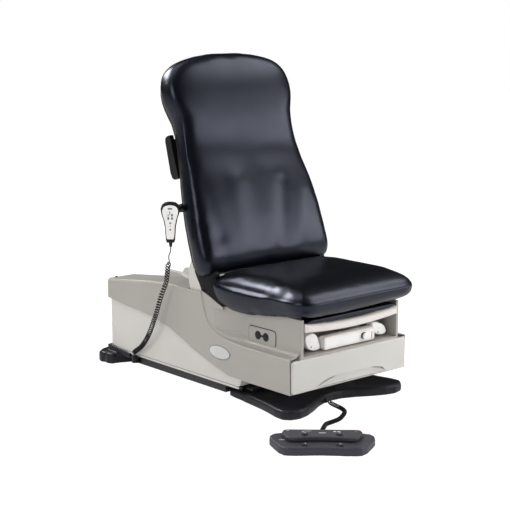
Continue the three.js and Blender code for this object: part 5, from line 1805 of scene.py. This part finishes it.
@dataclass
class Bay:
    """What the front of the shroud holds: stirrups, pan, leg extension and drawer."""

    round_edge: float = 13 * MM
    round_steps: int = 6
    knob_radius: float = 13 * MM
    slit_place: float = 119 * MM
    tray_half: float = 233 * MM
    tray_sag: float = 13 * MM
    tray_heights: tuple[float, float] = (0.3325, 0.3015)
    tray_steps: int = 12
    # Where the dark strip of painted gap shade round the drawer's face lies, along Y
    gap_shade_span: tuple[float, float] = (172.5 * MM, 175.5 * MM)
    grip_middle: float = 6 * MM
    grip_half: float = 190 * MM
    grip_bottom: float = 99.4 * MM
    grip_height: float = 36 * MM
    grip_depth: float = 8.4 * MM
    grip_outline_power: float = 2.4
    grip_depth_power: int = 5
    boots = {
        "left": (
            (-0.204, 0.285),
            (-0.176, 0.297),
            (-0.150, 0.286),
            (-0.133, 0.245),
            (-0.137, 0.233),
            (-0.170, 0.233),
            (-0.196, 0.250),
        ),
        "right": (
            (0.137, 0.283),
            (0.160, 0.286),
            (0.190, 0.275),
            (0.206, 0.262),
            (0.212, 0.242),
            (0.190, 0.234),
            (0.152, 0.247),
        ),
    }

    def build(self) -> None:
        """Makes the pieces in the bay and the drawer."""
        for name, _ in SIDES:
            self.stirrup_end(name)
        self.pan()
        self.tray()
        self.drawer()

    def moulded_front(
        self, name: str, outline: Sequence[Point], span: tuple[float, float], finish: Finish, *owners: str
    ) -> Piece:
        """A thick plate that looks forwards, with broad round edges."""
        steps = self.round_steps
        return plate(name, [outline], span, self.round_edge, FRONT_VIEW, finish, *owners, segments=steps)

    def stirrup_end(self, name: str) -> None:
        """A stirrup's moulded end, shaped like a blunt boot, with a small dark screw in its face.

        Args:
            name: left or right.
        """
        node, body = f"stirrup_end_{name}", f"stirrup_{name}"
        low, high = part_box(node)
        outline = [p.xy for p in catmull([(x, z, 0.0) for x, z in self.boots[name]], 6, closed=True)]
        span = (-high[1], -low[1] + 1 * MM)
        self.moulded_front(f"stirrup_cap_{name}", outline, span, WHITE, body, node)
        x, z = (sum(axis) / len(outline) for axis in zip(*outline))
        screw = moved(oval(3 * MM, 3 * MM, 20), x - 10 * MM, z - 14 * MM)
        span = (-low[1] - 3 * MM, -low[1] + 1.4 * MM)
        plate(f"stirrup_screw_{name}", [screw], span, 0.2 * MM, FRONT_VIEW, MARK_DARK, body)

    def pan(self) -> None:
        """The pan's rounded front, its knob with a black ring of painted shade on its side, and the
        narrow slit as a dark mark of painted shade.
        """
        refined("pan", TRAY_WHITE, 1.0 * MM)
        face = -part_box("pan")[0][1]
        (x, _, z), (width, _, height) = box_of("pan")
        front = moved(round_rect(width, height, 12 * MM), x, z)
        self.moulded_front("pan_front", front, (face - 30 * MM, face + 0.6 * MM), WHITE, "pan")
        (knob_x, _, knob_z), _ = box_of("pan_knob")
        # A black ring under the white cap: painted shade of the knob's side
        neck = moved(oval(self.knob_radius, self.knob_radius, 36), knob_x, knob_z)
        plate("knob_side_shade", [neck], (face, face + 8 * MM), 1 * MM, FRONT_VIEW, BLACK, "pan")
        radius = self.knob_radius - 1 * MM
        cap = moved(oval(radius, radius, 36), knob_x, knob_z)
        span = (face + 7 * MM, -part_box("pan_knob")[0][1])
        plate("knob_cap", [cap], span, 2 * MM, FRONT_VIEW, WHITE, "pan", "pan_knob")
        # The slit is a flat dark mark on the front: painted shade of the gap
        slit = moved(round_rect(3 * MM, 26 * MM, 1.2 * MM), self.slit_place, z - 4 * MM)
        plate("pan_slit", [slit], (face - 3 * MM, face + 0.8 * MM), 0.0, FRONT_VIEW, SLOT_SHADE, "pan")

    def tray(self) -> None:
        """The leg extension's dished tray, with thick rounded edges."""
        low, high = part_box("extension_tray")
        shares = [step / self.tray_steps - 1 for step in range(2 * self.tray_steps + 1)]
        outline = []
        for height, row in zip(self.tray_heights, (shares, shares[::-1])):
            for share in row:
                outline.append((share * self.tray_half, height + self.tray_sag * share * share))
        span = (-high[1], -low[1])
        self.moulded_front("tray_finished", outline, span, TRAY_WHITE, "extension", "extension_tray")

    def drawer(self) -> None:
        """The drawer, with a dark strip round its face as painted shade of the gap."""
        refined("drawer", DRAWER_FACE, 1.6 * MM)
        (x, _, z), (width, _, height) = box_of("drawer")
        # A dark strip behind the face's rounded rim: painted shade of the gap between drawer and shroud
        joint = moved(round_rect(width - 2 * MM, height - 2 * MM, 11 * MM), x, z)
        plate("drawer_gap_shade", [joint], self.gap_shade_span, 0.0, FRONT_VIEW, SEAM_AND_GAP_SHADE, "drawer")
        self.grip(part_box("drawer")[0][1])

    def grip(self, face: float) -> None:
        """The scooped hand hold along the drawer's foot, a lens whose floor runs inwards.

        Args:
            face: where the drawer's face is along Y, in metres.
        """

        def at(across: float, along: float) -> Vector:
            """The place of one point of the scoop.

            Args:
                across: its share from left to right.
                along: its share from the top to the foot.

            Returns:
                Its place, in metres.
            """
            share = 2 * across - 1
            tall = self.grip_height * (1 - abs(share) ** self.grip_outline_power)
            z = self.grip_bottom + tall * (1 - along)
            deep = self.grip_depth * math.sin(math.pi / 2 * along)
            depth = deep * (1 - abs(share) ** self.grip_depth_power)
            return Vector((self.grip_middle + share * self.grip_half, face - 0.25 * MM + depth, z))

        piece = sheet("drawer_grip", 48, 12, at, 0.8 * MM, (0.0, -1.0, 0.0))
        dressed(piece, DRAWER_FACE, "drawer")


# Controls


def bar(width: float, height: float, radius: float, u: float, v: float) -> list[tuple[float, float]]:
    """A bar with round corners at a place, all in millimetres."""
    return moved(round_rect(width * MM, height * MM, radius * MM), u * MM, v * MM)


def dot(half: float, tall: float, u: float, v: float, count: int = 24) -> list[tuple[float, float]]:
    """An oval dot at a place, all in millimetres, with a number of corners."""
    return moved(oval(half * MM, tall * MM, count), u * MM, v * MM)


@dataclass
class Controls:
    """The hand control on its hook and the foot control, with generic marks."""

    pedal_place: tuple[float, float] = (-0.413, -0.461)
    pedal_turn: float = -42.4
    bar_top: float = 45 * MM
    base_top: float = 28 * MM
    button_scale: tuple[float, float, float] = (0.84, 0.84, 0.86)
    pedal_voxel: float = 2.2 * MM
    mark_foot: float = 0.5 * MM
    mark_height: float = 0.35 * MM
    face_towards: tuple[float, float, float] = (-0.6, -0.75, 0.1)
    face_span: tuple[float, float] = (-0.4 * MM, 0.5 * MM)

    def build(self) -> None:
        """Makes both controls."""
        for node in ("handset_body", "handset_strain_relief", "handset_hook"):
            refined(node, BLACK, 1.6 * MM)
        refined("handset_face", WHITE, 0.4 * MM)
        self.handset_marks()
        for node in ("foot_control_base", "foot_control_bar"):
            moulded(node, CONTROL, self.pedal_voxel, 6)
        refined("foot_control_strain_relief", BLACK, 1.0 * MM)
        for name in ("bar_left", "bar_right", "low_left", "low_right"):
            self.button(f"button_{name}")
        self.pedal_marks()

    def turned(self, place: Point) -> Matrix:
        """A view from above that is turned as the foot control is, at a place."""
        return Matrix.Translation(place) @ Matrix.Rotation(math.radians(self.pedal_turn), 4, "Z")

    def button(self, node: str) -> None:
        """One foot button with its pale dot, a little slimmer than the bore in its soft housing.

        Args:
            node: the CAD node's name.
        """
        (x, y, _), _ = box_of(node)
        top = (x, y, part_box(node)[1][2])
        shift = Matrix.Translation(top)
        piece = refined(node, CONTROL, 1.6 * MM)
        piece.data.transform(shift @ Matrix.Diagonal((*self.button_scale, 1.0)) @ shift.inverted())
        mark = dot(2.2, 3.2, 0.0, 0.0, 20)
        span = (-self.mark_foot, self.mark_height)
        plate(f"{node}_dot", [mark], span, 0.0, self.turned(top), MARK_PALE, node)

    def handset_marks(self) -> None:
        """Plain keys, arrows, a ring and a red dot on the hand control's face."""
        place = face_place("handset_face", self.face_towards)
        dark = [
            bar(17, 4.5, 1, 0, 43),
            bar(6, 9, 1.5, -7, 7),
            bar(6, 9, 1.5, 7, 7),
            bar(6, 9, 1.5, 7, 19),
            bar(2, 12, 0.8, -1, 28),
        ]
        grey = [dot(4, 4, 0, -11), bar(5, 2, 0.8, 0, -22), moved(arrow(8 * MM), -7 * MM, 19 * MM)]
        for name, outlines, finish in (
            ("handset_keys", dark, MARK_DARK),
            ("handset_signs", grey, MARK_GREY),
            ("handset_stop", [dot(3.4, 3.4, 0, -36)], SIGNAL_RED),
        ):
            plate(name, outlines, self.face_span, 0.0, place, finish, "handset")

    def pedal_marks(self) -> None:
        """Plain pale signs and a red dot on the foot control."""
        place = self.turned((*self.pedal_place, 0.0))
        pale = [
            bar(26, 3, 1, -50, 44),
            moved(arrow(9 * MM), -66 * MM, 37 * MM),
            bar(24, 7, 1.5, 0, 25),
            bar(10, 8, 1.5, 42, 40),
            bar(10, 8, 1.5, 56, 40),
            dot(4, 4, -116, 50),
        ]
        for name, outlines, height, finish in (
            ("pedal_signs", pale, self.bar_top, MARK_PALE),
            ("pedal_low_signs", [bar(18, 6, 2, -136, 2)], self.base_top, MARK_PALE),
            ("pedal_stop", [dot(5, 6, 114, 47)], self.bar_top, SIGNAL_RED),
        ):
            span = (height - self.mark_foot, height + self.mark_height)
            plate(name, outlines, span, 0.0, place, finish, "base")


@dataclass
class HiddenWorks:
    """The frame, the column, the drive, the feet and the other inner pieces."""

    foot_voxel: float = 4 * MM
    foot_passes: int = 9
    shell_share: float = 0.93
    groups = (
        (BLACK, 0.8, "deck_plug roll_cheek_left roll_cheek_right handset_cord_gland"),
        (PLASTIC, 0.8, "back_drive_housing control_box mains_inlet"),
        (FRAME_PAINT, 0.8, "base_frame seat_frame back_frame"),
        (STEEL, 0.8, "column_outer column_middle column_inner roll_spindle back_drive_rod"),
        (STEEL, 0.6, "back_pivot_pin_left back_pivot_pin_right stirrup_bar_left stirrup_bar_right"),
        (ZINC, 0.6, "lift_motor stirrup_guide_left stirrup_guide_right"),
        (ZINC, 0.6, "extension_runner_left extension_runner_right"),
        (LAMINATE, 0.8, "seat_board back_board"),
    )

    def build(self) -> None:
        """Dresses them, and draws the rear shell a little narrower than the cushion before it."""
        for finish, width, nodes in self.groups:
            for node in nodes.split():
                refined(node, finish, width * MM)
        for node in ("front_foot", "rear_foot"):
            moulded(node, FOOT, self.foot_voxel, self.foot_passes)
        shell = refined("back_shell", VINYL, 3 * MM)
        shell.data.transform(Matrix.Diagonal((self.shell_share, 1.0, 1.0, 1.0)))


def main() -> None:
    """Builds the sub-assemblies in order."""
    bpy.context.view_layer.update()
    Studio().build()
    Cords().build()
    Upholstery().build()
    Shrouds().build()
    SideFittings().build()
    Bay().build()
    Controls().build()
    HiddenWorks().build()


if __name__ == "__main__":
    logging.basicConfig(level=logging.INFO)
    main()
